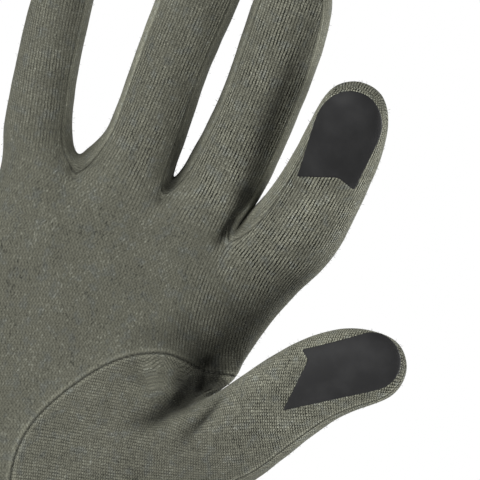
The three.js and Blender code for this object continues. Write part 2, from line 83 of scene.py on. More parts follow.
# The thumb's hole starts below this row and right of these columns. The fingers start at the knuckles' row.
CORNER_ROW = 3
FRONT_CORNER_COLUMN = 5
BACK_CORNER_COLUMN = 10
KNUCKLE_ROW = 6
FIRST_STEP = 0.7  # width of the first column, at the little finger's side, beside the others
REFERENCE_X = -22  # the wale at this x runs straight up the palm and the back

# The cage lines of palm and back, from the little finger's side to the index finger's.
HAND_LINES = table(
    "seam_x seam_z back_x back_z knuckle_x knuckle_z knuckle_back_z dip",
    (-42.5, 107, -42.5, 107, -45.5, 147.5, 147, 0),
    (-36, 106.5, -37, 107, -40, 148.5, 149, 0),
    (-29, 106, -31, 107.5, -34.5, 150, 150, 0),
    (-21, 105.5, -25, 108, -29.3, 150.5, 149, 3),
    (-12.5, 104.5, -19, 108, -22, 153, 154, 0),
    (-5, 103.5, -13, 108, -14, 155.5, 155.5, 0),
    (0, 110.8, -7, 108, -6.3, 155.5, 153.5, 3),
    (5.2, 114.8, -1, 108, 0.5, 155.5, 156.5, 0),
    (10.5, 117.4, 5, 108, 7.5, 153.5, 155, 0),
    (15.5, 118.2, 11, 108.5, 14, 149, 150.5, 3),
    (20, 118.4, 17, 109.5, 21, 149, 151, 0),
    (24.5, 118, 23, 112.5, 28, 148.5, 149, 0),
    (28.5, 118, 28.5, 116.8, 34.5, 147.5, 147, 0),
)
THUMB_WEB = (31.6, 0.5, 121)

RING = "x y z half_width half_depth"
FINGERS = {
    "little": {
        "web": None,
        "rings": table(
            RING,
            (-43.1, -1.5, 155.5, 9.3, 9.6),
            (-45.4, -4.2, 163.5, 8.6, 8.9),
            (-48.2, -8.3, 176, 8.2, 8.2),
            (-50.2, -12.6, 188, 8.1, 7.7),
            (-51.3, -16, 197, 7.8, 7.2),
            (-51.9, -18, 202, 6, 5.4),
        ),
        "tip": (-52.4, -19.6, 205.5),
    },
    "ring": {
        "web": (-30, -1, 156),
        "rings": table(
            RING,
            (-16.3, -1.2, 162.5, 10.2, 10.4),
            (-16.8, -4, 174, 10.1, 10),
            (-18.2, -8.8, 188.5, 9.7, 9.5),
            (-18.2, -14.6, 202.5, 10.3, 9.1),
            (-18.1, -20.2, 215, 10.1, 8.3),
            (-18.1, -22.8, 220.5, 7.6, 6.2),
        ),
        "tip": (-18.2, -24.6, 224.4),
    },
    "middle": {
        "web": (-5.2, -0.5, 162),
        "rings": table(
            RING,
            (6.8, -1.2, 162.5, 11, 10.9),
            (7.6, -4.4, 174, 10.8, 10.4),
            (7.8, -9.8, 188.5, 10.4, 9.9),
            (6.8, -16.4, 203, 10.9, 9.5),
            (5, -23.2, 216, 10.3, 8.6),
            (4.1, -26, 221.6, 7.7, 6.4),
        ),
        "tip": (3.8, -28, 225.6),
    },
    "index": {
        "web": (16, -1, 160.5),
        "rings": table(
            RING,
            (28.4, -3.4, 156.5, 12.5, 11.8),
            (30.5, -7.8, 163, 12.2, 11.2),
            (31.3, -14.4, 171.5, 11.2, 10.6),
            (31.9, -22.2, 180.5, 10.7, 10),
            (31.6, -29.8, 189, 10.2, 9.4),
            (30.6, -35.6, 195.2, 8.8, 8),
            (29.6, -38.8, 198.4, 6.2, 5.8),
        ),
        "tip": (28.8, -40.8, 200.6),
    },
}
# The points of a finger's ring, by their angles in degrees: from the little finger's side round the palm.
RING_STEP = 36
FINGER_ANGLES = tuple((180 + RING_STEP * k) % 360 for k in range(10))
PALM_MIDDLE, BACK_MIDDLE = 270, 90
ACROSS_FINGERS = Vector((1, 0, 0))
RING_SWELL = 1.066  # a ring's points stand out this much, because subdivision draws the surface in
TIP_ANGLES = (140, 110, 70, 40)
TIP_ROUNDNESS = 1.5  # how far the tip's line drops at its ends, as a share of the last ring

THUMB_RINGS = table(
    RING,
    (35.4, -24.5, 102.6, 12.5, 13.5),
    (40.2, -30, 111, 11.7, 12.4),
    (44.8, -35.5, 120, 11.4, 11.2),
    (49.8, -40.4, 128.2, 11, 10.3),
    (56, -45, 134.6, 10.7, 9.4),
    (63, -48.2, 137.8, 8.8, 8),
    (66.6, -49.6, 139.2, 6.2, 5.8),
)
THUMB_TIP = (69.2, -50.4, 140)
THUMB_TO_WEB = (-0.8, 0, 0.6)
THUMB_ANGLES = (145, 115, 85, 60, 35, 15, -15, -50, -90, -130, -175)
THUMB_SEAM_COLUMN = 6  # the front piece ends at this point of a ring
BALL_SHARE = 0.5  # the ball's line of points lies this far from the hand towards the thumb's first ring
BALL_SWELL = 7
BALL_DIRECTION = (-0.3, -0.86, -0.4)
BACK_SHIFT = 25  # how far round the wrist the thumb's flat back piece lies beside its hole, in degrees

CUFF_LINE = table("x y", (28.5, 12.5), (33, 2.5), (28, -12.5), (10, -20.5))
CUFF_ROWS = table("z half_width half_depth", (30, 31.5, 21), (0, 34.5, 24))
CUFF_GIRTH = 172  # the cuff's cloth measured round the wrist

# How the thumb's front piece leans on the flat cloth, seen from its root, at some points of its seam.
THUMB_CUT = table("point lean", (0, -12), (3, 33), (5, 38), (8, 30), (10, 28), (12, 60))

PALM, BACK, CUFF = "palm_panel", "back_panel", "cuff"
THUMB_FRONT, THUMB_BACK = "thumb_front", "thumb_back"
FINGER_NAMES = tuple(FINGERS)
FOURCHETTES = tuple(f"fourchette_{b}_{a}" for a, b in zip(FINGER_NAMES, FINGER_NAMES[1:]))
CUT_PIECES = (PALM, BACK, *FOURCHETTES, THUMB_FRONT, THUMB_BACK, CUFF)


class Cage:
    """Coarse points and faces. Each face is a cut piece's, and each point has a place on flat cloth."""

    def __init__(self):
        self.points = []
        self.faces = []
        self.flat = {}

    def add(self, position):
        self.points.append(Vector(position))
        return len(self.points) - 1

    def face(self, piece, *corners):
        self.faces.append((piece, corners))

    def strip(self, piece_of, left, right):
        """Quads between two lines of points, the second one on the right of the first."""
        for i in range(len(left) - 1):
            self.face(piece_of(i), left[i], right[i], right[i + 1], left[i + 1])

    def lay(self, piece, indices, us, vs):
        """Places points of a piece on its flat cloth, in millimetres across and along the wales."""
        for index, u, v in zip(indices, us, vs):
            self.flat[piece, index] = (u, v)


def at(ring):
    return Vector((ring["x"], ring["y"], ring["z"]))


def lerp(a, b, t):
    return a + (b - a) * t


def between(rows, x):
    """The value at x in a table of two columns, in proportion between its rows."""
    places, values = np.array([tuple(row.values()) for row in rows], dtype=float).T
    return np.interp(x, places, values)


def section_y(row, x, side):
    """Depth of the hand's surface at x in a row: negative on the palm side."""
    middle = (row["ulnar_x"] + row["radial_x"]) / 2
    reach = (row["radial_x"] - row["ulnar_x"]) / 2
    across = min(1, abs(x - middle) / reach)
    height = (1 - across ** row["squareness"]) ** (1 / row["squareness"])
    return -row["front_depth"] * height if side == "front" else row["back_depth"] * height


def hand_point(r, c, side):
    row, line = HAND_ROWS[r], HAND_LINES[c]
    front = side == "front"
    if r < CORNER_ROW:
        last = FRONT_CORNER_COLUMN if front else BACK_CORNER_COLUMN
        seam_x = row["front_seam_x"] if front else row["back_seam_x"]
        x = lerp(row["ulnar_x"], seam_x, (c + FIRST_STEP) / (last + FIRST_STEP))
        z = row["z"]
    else:
        low, high = HAND_ROWS[CORNER_ROW]["z"], HAND_ROWS[KNUCKLE_ROW]["z"]
        up = (row["z"] - low) / (high - low)
        x = lerp(line["seam_x" if front else "back_x"], line["knuckle_x"], up)
        z = lerp(line["seam_z" if front else "back_z"], line["knuckle_z" if front else "knuckle_back_z"], up)
    dip = line["dip"] if r == KNUCKLE_ROW else 0
    return x, section_y(row, x, side) + (dip if front else -dip), z


def ring_points(ring, tangent, angles, sideways, swell=RING_SWELL):
    outward = (sideways - tangent * sideways.dot(tangent)).normalized()
    behind = tangent.cross(outward)
    for angle in map(math.radians, angles):
        across = outward * (swell * ring["half_width"] * math.cos(angle))
        yield at(ring) + across + behind * (swell * ring["half_depth"] * math.sin(angle))


def tangents_along(centres):
    padded = [centres[0], *centres, centres[-1]]
    return [(after - before).normalized() for before, after in zip(padded, padded[2:])]


def lengths_along(centres, start=0.0):
    steps = [start] + [(b - a).length for a, b in zip(centres, centres[1:])]
    return list(np.cumsum(steps))


def radius(ring):
    return math.sqrt((ring["half_width"] ** 2 + ring["half_depth"] ** 2) / 2)


def cross_arc(points, reference_x):
    """Distances along a row of points, counted so that the row's point at reference_x has its own x."""
    xs = np.array([p.x for p in points])
    ys = np.array([p.y for p in points])
    arcs = np.concatenate([[0], np.cumsum(np.hypot(np.diff(xs), np.diff(ys)))])
    return reference_x + arcs - np.interp(reference_x, xs, arcs)


def build_hand(cage):
    """The palm and back pieces from the cuff line to the finger roots. Returns their grids of points."""
    columns = range(len(HAND_LINES))
    rows = range(len(HAND_ROWS))

    def grid(side, corner_column):
        def point(r, c):
            in_hole = r < CORNER_ROW and c > corner_column
            return None if in_hole else cage.add(hand_point(r, c, side))

        return [[point(r, c) for c in columns] for r in rows]

    front = grid("front", FRONT_CORNER_COLUMN)
    back = grid("back", BACK_CORNER_COLUMN)
    ulnar = [cage.add((row["ulnar_x"], 0, row["z"])) for row in HAND_ROWS]
    radial = [None] * CORNER_ROW + [cage.add(THUMB_WEB)]
    radial += [cage.add((row["radial_x"], 0, row["z"])) for row in HAND_ROWS[CORNER_ROW + 1 :]]

    def line(side, r):
        return [p for p in (ulnar[r], *side[r], radial[r]) if p is not None]

    for r in rows:
        for side, piece in ((front, PALM), (back, BACK)):
            points = line(side, r)
            places = [cage.points[p] for p in points]
            cage.lay(piece, points, cross_arc(places, REFERENCE_X), [p.z for p in places])
    for r in range(KNUCKLE_ROW):
        for side, piece in ((front, PALM), (back, BACK)):
            lower, upper = line(side, r), line(side, r + 1)
            if r < CORNER_ROW:
                upper = upper[: len(lower)]
            left, right = (upper, lower) if piece == PALM else (lower, upper)
            cage.strip(lambda _: piece, left, right)
    return front, back, ulnar, radial


def build_finger(cage, f, front, back, ulnar, radial, webs):
    finger = FINGERS[FINGER_NAMES[f]]
    rings = finger["rings"]
    columns = slice(3 * f, 3 * f + 4)
    is_little, is_index = f == 0, f == len(FINGER_NAMES) - 1
    base = [
        ulnar[KNUCKLE_ROW] if is_little else webs[f],
        *front[KNUCKLE_ROW][columns],
        radial[KNUCKLE_ROW] if is_index else webs[f + 1],
        *reversed(back[KNUCKLE_ROW][columns]),
    ]
    ulnar_side = (PALM, BACK) if is_little else (FOURCHETTES[f - 1],) * 2
    radial_side = (PALM, BACK) if is_index else (FOURCHETTES[f],) * 2
    pieces = [ulnar_side[0], PALM, PALM, PALM, *radial_side, BACK, BACK, BACK, ulnar_side[1]]
    centres = [at(ring) for ring in rings]
    tangents = tangents_along([*centres, Vector(finger["tip"])])
    loops = [base]
    for ring, tangent in zip(rings, tangents):
        upper = [cage.add(p) for p in ring_points(ring, tangent, FINGER_ANGLES, ACROSS_FINGERS)]
        lower = loops[-1]
        cage.strip(lambda i: pieces[i], [*upper, upper[0]], [*lower, lower[0]])
        loops.append(upper)

    # The tip closes on a short line of four points between the palm and the back.
    half_width = rings[-1]["half_width"]
    tip_line = dict(zip(RING.split(), (*finger["tip"], half_width, 0)))
    closing = []
    for angle, p in zip(TIP_ANGLES, ring_points(tip_line, tangents[-1], TIP_ANGLES, ACROSS_FINGERS, 1)):
        drop = TIP_ROUNDNESS * half_width * (1 - math.sin(math.radians(angle)))
        closing.append(cage.add(p - tangents[-1] * drop))
    ulnar_end, p0, p1, p2, p3, radial_end, b3, b2, b1, b0 = loops[-1]
    cage.strip(lambda _: PALM, closing, [p0, p1, p2, p3])
    cage.strip(lambda _: BACK, [b0, b1, b2, b3], closing)
    cage.face(PALM, ulnar_end, p0, closing[0])
    cage.face(BACK, b0, ulnar_end, closing[0])
    cage.face(PALM, p3, radial_end, closing[3])
    cage.face(BACK, radial_end, b3, closing[3])

    lay_finger(cage, f, loops, closing, centres)


def from_middle(angle, middle):
    """An angle counted from the middle of a side, from -180 to 180 degrees."""
    return (angle - middle + 180) % 360 - 180


def lay_finger(cage, f, loops, closing, centres):
    """Places a finger's rings on the flat cloth of palm, back and fourchettes."""
    rings = FINGERS[FINGER_NAMES[f]]["rings"]
    base, last = loops[0], loops[-1]
    root = sum((cage.points[p] for p in base), Vector()) / len(base)
    along = lengths_along([root, *centres])[1:]
    for piece, columns, middle_columns, tip_columns, middle, sign in (
        (PALM, range(6), (2, 3), (1, 2, 3, 4), PALM_MIDDLE, 1),
        (BACK, range(5, 11), (7, 8), (9, 8, 7, 6), BACK_MIDDLE, -1),
    ):
        middle_u, middle_v = np.mean([cage.flat[piece, base[c]] for c in middle_columns], axis=0)
        angles = [sign * from_middle(FINGER_ANGLES[c % 10], middle) for c in columns]
        for ring, loop, length in zip(rings, loops[1:], along):
            us = [middle_u + math.radians(a) * radius(ring) for a in angles]
            cage.lay(piece, [loop[c % 10] for c in columns], us, [middle_v + length] * len(us))
        for column, angle, p in zip(tip_columns, TIP_ANGLES, closing):
            reach = (cage.points[p] - cage.points[last[column]]).length
            u = middle_u + rings[-1]["half_width"] * math.cos(math.radians(angle))
            cage.lay(piece, [p], [u], [middle_v + along[-1] + reach])
    sides = []
    if f < len(FOURCHETTES):
        sides.append((FOURCHETTES[f], (4, 5, 6), 1))
    if f > 0:
        sides.append((FOURCHETTES[f - 1], (1, 0, 9), -1))
    for piece, columns, sign in sides:
        for ring, loop, length in zip([rings[0], *rings], loops, [0, *along]):
            width = math.radians(RING_STEP) * radius(ring)
            cage.lay(piece, [loop[c] for c in columns], (-width, 0, width), [sign * length] * 3)


def build_thumb(cage, front, back, radial, cuff_line):
    loop = [
        *[front[r][FRONT_CORNER_COLUMN] for r in range(CORNER_ROW)],
        *front[CORNER_ROW][FRONT_CORNER_COLUMN:],
        radial[CORNER_ROW],
        *reversed(back[CORNER_ROW][BACK_CORNER_COLUMN:]),
        *[back[r][BACK_CORNER_COLUMN] for r in reversed(range(CORNER_ROW))],
        *cuff_line,
    ]
    centres = [at(ring) for ring in THUMB_RINGS]
    tangents = tangents_along([*centres, Vector(THUMB_TIP)])
    # Every other point of the loop has a ring point's angle, and the rest lie half-way.
    nexts = [*THUMB_ANGLES[1:], THUMB_ANGLES[0] - 360]
    angles = [a if even else (a + b) / 2 for a, b in zip(THUMB_ANGLES, nexts) for even in (True, False)]
    to_web = Vector(THUMB_TO_WEB)
    root = list(ring_points(THUMB_RINGS[0], tangents[0], angles, to_web))
    ball = []
    for point, angle, ring_point in zip(loop, angles, root):
        swell = BALL_SWELL * max(0, math.sin(math.radians(angle))) ** 2
        half_way = cage.points[point].lerp(ring_point, BALL_SHARE)
        ball.append(cage.add(half_way + Vector(BALL_DIRECTION) * swell))

    def piece_of(column):
        return THUMB_FRONT if column < THUMB_SEAM_COLUMN else THUMB_BACK

    cage.strip(lambda i: piece_of(i / 2), [*loop, loop[0]], [*ball, ball[0]])
    loops = []
    count = len(THUMB_ANGLES)
    for ring, tangent in zip(THUMB_RINGS, tangents):
        upper = [cage.add(p) for p in ring_points(ring, tangent, THUMB_ANGLES, to_web)]
        if loops:
            cage.strip(piece_of, [*loops[-1], loops[-1][0]], [*upper, upper[0]])
        else:
            for j in range(count):
                near, middle, far = ball[2 * j], ball[2 * j + 1], ball[(2 * j + 2) % len(ball)]
                cage.face(piece_of(j), near, upper[j], upper[(j + 1) % count], far, middle)
        loops.append(upper)
    tip = cage.add(THUMB_TIP)
    for j in range(count):
        cage.face(piece_of(j), loops[-1][j], tip, loops[-1][(j + 1) % count])
    lay_thumb(cage, loop, ball, loops, tip, angles, root)


def lay_thumb(cage, loop, ball, loops, tip, angles, root):
    """Places the thumb's two pieces on flat cloth. The wales run up the thumb and bend across its ball."""
    along = lengths_along([at(ring) for ring in THUMB_RINGS])
    tip_along = along[-1] + (Vector(THUMB_TIP) - at(THUMB_RINGS[-1])).length
    last_column = 2 * THUMB_SEAM_COLUMN
    back_angles = [*angles[last_column:], angles[0] - 360]
    middle = (back_angles[0] + back_angles[-1]) / 2

    def front_u(angle, ring):
        return math.radians(angle - 90) * radius(ring)

    def back_u(angle, ring):
        return math.radians(middle - angle) * radius(ring)

    def lay_edge(piece, i, edge, u):
        """The hole's edge and the ball's line half-way to the thumb's first ring."""
        cage.lay(piece, [loop[i]], [edge[0]], [edge[1]])
        cage.lay(piece, [ball[i]], [lerp(edge[0], u, BALL_SHARE)], [lerp(edge[1], 0, BALL_SHARE)])

    for i in range(last_column + 1):
        reach = (cage.points[loop[i]] - root[i]).length
        lean = math.radians(float(between(THUMB_CUT, i)))
        u = front_u(angles[i], THUMB_RINGS[0])
        lay_edge(THUMB_FRONT, i, (u - reach * math.sin(lean), -reach * math.cos(lean)), u)
    wrist = HAND_ROWS[0]
    for i, angle in zip([*range(last_column, len(loop)), 0], back_angles):
        place = cage.points[loop[i]]
        round_wrist = -math.atan2(place.y / wrist["back_depth"], place.x / wrist["radial_x"])
        reach = (place - root[i]).length
        edge = (wrist["radial_x"] * (round_wrist - math.radians(BACK_SHIFT)), -reach)
        lay_edge(THUMB_BACK, i, edge, back_u(angle, THUMB_RINGS[0]))
    for ring, points, length in zip(THUMB_RINGS, loops, along):
        for j in range(THUMB_SEAM_COLUMN + 1):
            cage.lay(THUMB_FRONT, [points[j]], [front_u(THUMB_ANGLES[j], ring)], [length])
        for j in range(THUMB_SEAM_COLUMN, len(THUMB_ANGLES) + 1):
            angle = THUMB_ANGLES[j] if j < len(THUMB_ANGLES) else THUMB_ANGLES[0] - 360
            cage.lay(THUMB_BACK, [points[j % len(points)]], [back_u(angle, ring)], [length])
    for piece in (THUMB_FRONT, THUMB_BACK):
        cage.lay(piece, [tip], [0], [tip_along])


def build_cuff(cage, front, back, ulnar, cuff_line):
    ring = [ulnar[0], *front[0], *reversed(cuff_line), *reversed(back[0])]
    ring = [p for p in ring if p is not None]
    angles = [math.atan2(cage.points[p].y, cage.points[p].x) for p in ring]
    across = [CUFF_GIRTH * (angle / math.tau % 1) for angle in angles]
    cage.lay(CUFF, ring, across, [HAND_ROWS[0]["z"]] * len(ring))
    for row in CUFF_ROWS:
        lower = []
        for cos, sin in ((math.cos(angle), math.sin(angle)) for angle in angles):
            reach = 1 / math.hypot(cos / row["half_width"], sin / row["half_depth"])
            lower.append(cage.add((reach * cos, reach * sin, row["z"])))
        cage.strip(lambda _: CUFF, [*ring, ring[0]], [*lower, lower[0]])
        cage.lay(CUFF, lower, across, [row["z"]] * len(lower))
        ring = lower


def glove_cage():
    cage = Cage()
    front, back, ulnar, radial = build_hand(cage)
    webs = [None if finger["web"] is None else cage.add(finger["web"]) for finger in FINGERS.values()]
    for f in range(len(FINGER_NAMES)):
        build_finger(cage, f, front, back, ulnar, radial, webs)
    cuff_line = [cage.add((p["x"], p["y"], HAND_ROWS[0]["z"])) for p in CUFF_LINE]
    build_thumb(cage, front, back, radial, cuff_line)
    build_cuff(cage, front, back, ulnar, cuff_line)
    for piece in CUT_PIECES[:-1]:
        even_out(cage, piece)
    for row in WALE_TURNS:
        turn_wales(cage, **row)
    return cage


EVENING_ROUNDS = 150


def even_out(cage, piece):
    """Shifts a piece's flat places until they are as far apart as on the glove, so its stitches are even."""
    faces = [corners for owner, corners in cage.faces if owner == piece]
    used = sorted({c for corners in faces for c in corners})
    pairs = sorted({tuple(sorted(pair)) for corners in faces for pair in itertools.combinations(corners, 2)})
    rest = np.array([(cage.points[a] - cage.points[b]).length for a, b in pairs])
    slots = {c: i for i, c in enumerate(used)}
    ends = np.array([[slots[i], slots[j]] for i, j in pairs]).T
    places = np.array([cage.flat[piece, c] for c in used], dtype=float)
    for c, place in zip(used, relaxed(places, ends, rest, EVENING_ROUNDS)):
        cage.flat[piece, c] = tuple(place)


def relaxed(places, ends, rest, rounds, momentum=0.0):
    """Places moved step by step until the pairs of them are about as far apart as they should rest."""
    a, b = ends
    count = len(places)
    uses = np.bincount(ends.ravel(), minlength=count)[:, None]
    speed = np.zeros_like(places)
    for _ in range(rounds):
        gap = places[b] - places[a]
        length = np.linalg.norm(gap, axis=1)
        push = gap * ((length - rest) / length / 2)[:, None]
        pulls = [np.bincount(a, side, count) - np.bincount(b, side, count) for side in push.T]
        speed = momentum * speed + np.stack(pulls, axis=1) / uses
        places = places + speed
    return places


# How far the wales lean below one place along a piece and above another, on its flat cloth, in degrees.
WALE_TURNS = table(
    "piece low high lean_low lean_high",
    (THUMB_FRONT, -5, 30, 14, 25),
    (PALM, 120, 150, -18, 0),
)


def turn_wales(cage, piece, low, high, lean_low, lean_high):
    """Turns a piece's flat places about the middle of its bend, so that its wales lean."""
    mine = [key for key in cage.flat if key[0] == piece]
    pivot = (low + high) / 2
    centre = sum(cage.flat[key][0] for key in mine) / len(mine)
    for key in mine:
        u, v = cage.flat[key]
        lean = math.radians(lerp(lean_low, lean_high, float(smoothstep(low, high, v))))
        across, along = u - centre, v - pivot
        turned_u = centre + across * math.cos(lean) - along * math.sin(lean)
        turned_v = pivot + across * math.sin(lean) + along * math.cos(lean)
        cage.flat[key] = (turned_u, turned_v)


def flat_corners(cage, piece, corners):
    """The corners' places on the flat cloth. The cuff is a ring, so a face across its start is unwrapped."""
    places = [cage.flat[piece, c] for c in corners]
    if piece == CUFF and max(u for u, _ in places) - min(u for u, _ in places) > CUFF_GIRTH / 2:
        places = [(u + CUFF_GIRTH if u < CUFF_GIRTH / 2 else u, v) for u, v in places]
    return places


# The smooth form, its folds and its seams

SURFACE_LEVELS = 4
UNEVENNESS = 0.12  # how far the worn cloth strays from a smooth form
UNEVEN_SPACING = 5.5


def lines(*named):
    """Named lines of places, each with x, z, and the line's width and height there."""
    return {name: table("x z width height", *places) for name, *places in named}


# Folds and hollows of the worn cloth, as lines of places seen from the palm. A negative height is a valley.
PALM_FOLDS = lines(
    ("web hollow", (26, 124, 5.5, -1.6), (24, 119, 6, -2.6), (19.5, 111.5, 6.5, -3), (13, 104, 6, -1.4)),
    ("thumb crease", (26, 116.2, 1.8, -1.2), (21.5, 110.3, 2.4, -2.6), (15.5, 102, 3, -1.6),
     (10, 96, 3, 0)),
    ("thumb edge", (25, 108, 2.4, 0.9), (19, 100, 3, 0.7), (12, 94, 3, 0)),
    ("ball wrinkle", (29.3, 113, 1.1, -0.3), (26.8, 107, 1.4, -1), (25.4, 102.8, 1.6, -0.7),
     (24, 95, 1.6, 0)),
    ("upper ball wrinkle", (4, 113, 1.8, 0), (8.5, 109.6, 1.8, -0.7), (13, 107.5, 1.6, -0.2)),
    ("web wrinkle", (25, 121, 1.3, -0.4), (20.8, 118.6, 1.3, -0.6), (15.5, 118.4, 1.4, -0.2)),
    ("web fold", (23.6, 121, 1, -0.2), (24.2, 117.6, 1.1, -0.6), (25, 114, 1, -0.3)),
    ("web ridge", (21.8, 117, 0.9, 0.4), (22.6, 114.4, 0.9, 0.6), (24, 111.6, 0.9, 0.3)),
    ("inner ridge", (21, 116.5, 1, 0.3), (18.2, 111.5, 1, 0.6), (15, 108, 1.1, 0.1)),
    ("little root", (-30, 151.5, 1.3, -0.8), (-25.6, 156.5, 1.2, -0.5)),
    ("ring root", (-5, 158.8, 1.5, -1.4), (-6.4, 154.4, 1.3, -0.5)),
    ("ring root wrinkle", (-5.6, 153.2, 1, -0.5), (-2, 156, 1, -0.3)),
    ("middle root", (14.4, 157.5, 1.7, -1.8), (12.6, 149.6, 1.3, -0.6)),
    ("middle root wrinkle", (15.2, 152.5, 0.9, 0.3), (13.6, 147.5, 0.9, 0.2)),
    ("middle side", (11.6, 204, 1.2, -0.2), (12.8, 188.4, 1.3, -0.3), (14.6, 176.4, 1.3, -0.3)),
    ("wrist wrinkle", (-24, 61, 1.8, 0), (-12, 60, 2, -0.6), (6, 62, 1.8, 0)),
    ("upper wrist wrinkle", (-16, 66, 1.6, 0), (-2, 65, 1.8, -0.4), (10, 67, 1.6, 0)),
)
# The same seen from the back: dips between the knuckles, and wrinkles across the wrist.
BACK_FOLDS = lines(
    ("little knuckle", (-33, 150, 3.4, -1), (-33, 134, 4, 0)),
    ("ring knuckle", (-8, 153, 3.4, -1), (-9, 137, 4, 0)),
    ("middle knuckle", (15, 150, 3.4, -1), (16, 134, 4, 0)),
    ("wrist wrinkle", (-26, 63, 1.8, 0), (-8, 61, 2, -0.6), (14, 64, 1.8, 0)),
    ("upper wrist wrinkle", (-14, 70, 1.6, 0), (2, 68, 1.8, -0.4), (18, 71, 1.6, 0)),
)
# Painted shade on the palm side's cloth, in creases and on sides turned away from the lamps: a line's height
# is the share of light that the painted shade takes away. A negative height is painted light, which makes
# the cloth paler.
PAINTED_SHADES = lines(
    ("web", (27, 122, 3, 0.05), (25.2, 117.8, 3.2, 1), (21.6, 113.8, 3.6, 1), (19, 109.4, 3.6, 0.5),
     (16.6, 104, 3, 0.7), (12, 100, 2.6, 0.35)),
    ("web edge", (28.4, 117.5, 1.5, -1.6), (29.8, 120, 1.7, -1.8)),
    ("above the web", (30, 128, 4.5, 0.1), (20.5, 122.5, 5, 0.5), (14, 122.5, 5, 0.5), (4, 118, 4, 0.25)),
    ("ball wrinkle", (29.3, 113, 2, 0.6), (27.2, 107.3, 2, 0.9), (25.6, 103, 2, 0.6), (24, 96, 2, 0.1)),
    ("upper ball wrinkle", (3, 114, 2.4, 0.15), (8, 109.5, 2.6, 0.2), (13, 111, 3, 0.05)),
    ("ball ridge", (14.8, 111.4, 2.6, -0.4), (10.5, 107, 3, -0.35)),
    ("below the index finger", (37, 152, 3, 0.4), (35, 146, 4, 0.7), (31, 139, 5.5, 0.55),
     (27.5, 134.5, 6, 0.55), (27, 128, 4.5, 0.2)),
    ("palm dip", (14, 129, 5, 0.3), (20, 136, 6, 0.25), (24, 146, 5, 0.15)),
    ("index side", (21.5, 163, 4, 0.3), (24, 169, 4, 0.5), (23.6, 175, 3.5, 0.55), (23.8, 181, 3, 0.45)),
    ("below the pad", (27, 172, 3, 0.3), (34, 175.5, 3, 0.3)),
    ("little root", (-30, 151, 2.2, 0.35), (-26, 156, 2, 0.15)),
    ("ring root", (-9.4, 182, 2.2, 0.2), (-8.6, 172, 2.8, 0.5), (-7.2, 165, 2.6, 0.8),
     (-4.5, 160, 2.2, 0.8), (-6.5, 154, 2.2, 0.4)),
    ("middle root", (14, 163, 2.4, 1), (13.4, 157, 1.7, 0.8), (12.9, 152.4, 1.4, 0.7),
     (12.6, 148.5, 1, 0.2)),
    ("pocket", (14.4, 161, 1.3, 0.6), (13.9, 157, 1.4, 0.8), (13.5, 153.8, 1.3, 0.8),
     (13.2, 151, 0.9, 0.2)),
    ("index edge", (16, 155, 1.2, -0.4), (17, 160, 1.6, -1.1), (19, 165, 1.6, -0.2)),
    ("middle side", (10.4, 207, 2.6, 0.1), (11.6, 199, 2.6, 0.45), (11.6, 189, 3, 0.7),
     (13, 176, 3.2, 0.8), (14.4, 165, 3.2, 0.85)),
)
# How far the thumb's seam lies outside its line in the cage, along the cloth.
SEAM_SLIDES = lines(
    ("thumb seam", (-12.6, 68, 13, 1), (-12.6, 81, 13, 2.1), (-8.7, 95, 12, 1.8), (-4.1, 104, 8, 1.2),
     (-0.5, 109, 7, 1), (6, 115, 7, 0)),
)
SLIDE_DIRECTION = np.array((-0.94, 0, 0.34))
CREASE_DEPTH = 6  # a fold this deep gets the darkest painted shade of a crease
CREASE_RANGE = (-1.2, 1.1)  # the strongest painted light, on a ridge, and the darkest painted shade, in a crease
FOLD_SLOPES = (0.35, 0.65)  # how squarely the surface faces a side where its folds start and are full


class Form:
    """The glove's outside in millimetres: points, quads, their cut pieces, and flat places of corners."""

    def __init__(self, mesh):
        self.points = read(mesh.vertices, "co", 3) / MM
        self.quads = read(mesh.loops, "vertex_index", 1, np.int64).reshape(-1, 4)
        self.owner = read(mesh.attributes["cut_piece"].data, "value", 1, np.int64)
        self.flat = read(mesh.uv_layers[CLOTH_UV].data, "uv", 2).reshape(-1, 4, 2)
        self.normals = point_normals(self.points, self.quads)

    def tree(self):
        return BVHTree.FromPolygons(self.points.tolist(), self.quads.tolist())

    def part(self, piece):
        """Which quads are a cut piece's, which points they use, and the quads by places in that list."""
        mine = self.owner == CUT_PIECES.index(piece)
        used, quads = np.unique(self.quads[mine], return_inverse=True)
        return mine, used, quads.reshape(-1, 4)


def read(items, name, width, kind=float):
    values = np.empty(len(items) * width, dtype=np.float32 if kind is float else np.int32)
    items.foreach_get(name, values)
    values = values.astype(kind)
    return values.reshape(-1, width) if width > 1 else values


def point_normals(points, quads):
    a, b, c, d = (points[quads[:, k]] for k in range(4))
    across = np.cross(c - a, d - b)
    normals = np.zeros_like(points)
    for k in range(4):
        np.add.at(normals, quads[:, k], across)
    return unit(normals)


def unit(vectors):
    return vectors / np.maximum(np.linalg.norm(vectors, axis=-1, keepdims=True), 1e-9)


def smoothstep(low, high, x):
    t = np.clip((x - low) / (high - low), 0, 1)
    return t * t * (3 - 2 * t)


def linked(name, data):
    """A new object of the scene with the given mesh, light or camera."""
    obj = bpy.data.objects.new(name, data)
    bpy.context.scene.collection.objects.link(obj)
    return obj


def evaluated_mesh(obj):
    """The object's mesh with its modifiers applied. The object and its own mesh are removed."""
    made = bpy.data.meshes.new_from_object(obj.evaluated_get(bpy.context.evaluated_depsgraph_get()))
    own = obj.data
    bpy.data.objects.remove(obj)
    bpy.data.meshes.remove(own)
    return made


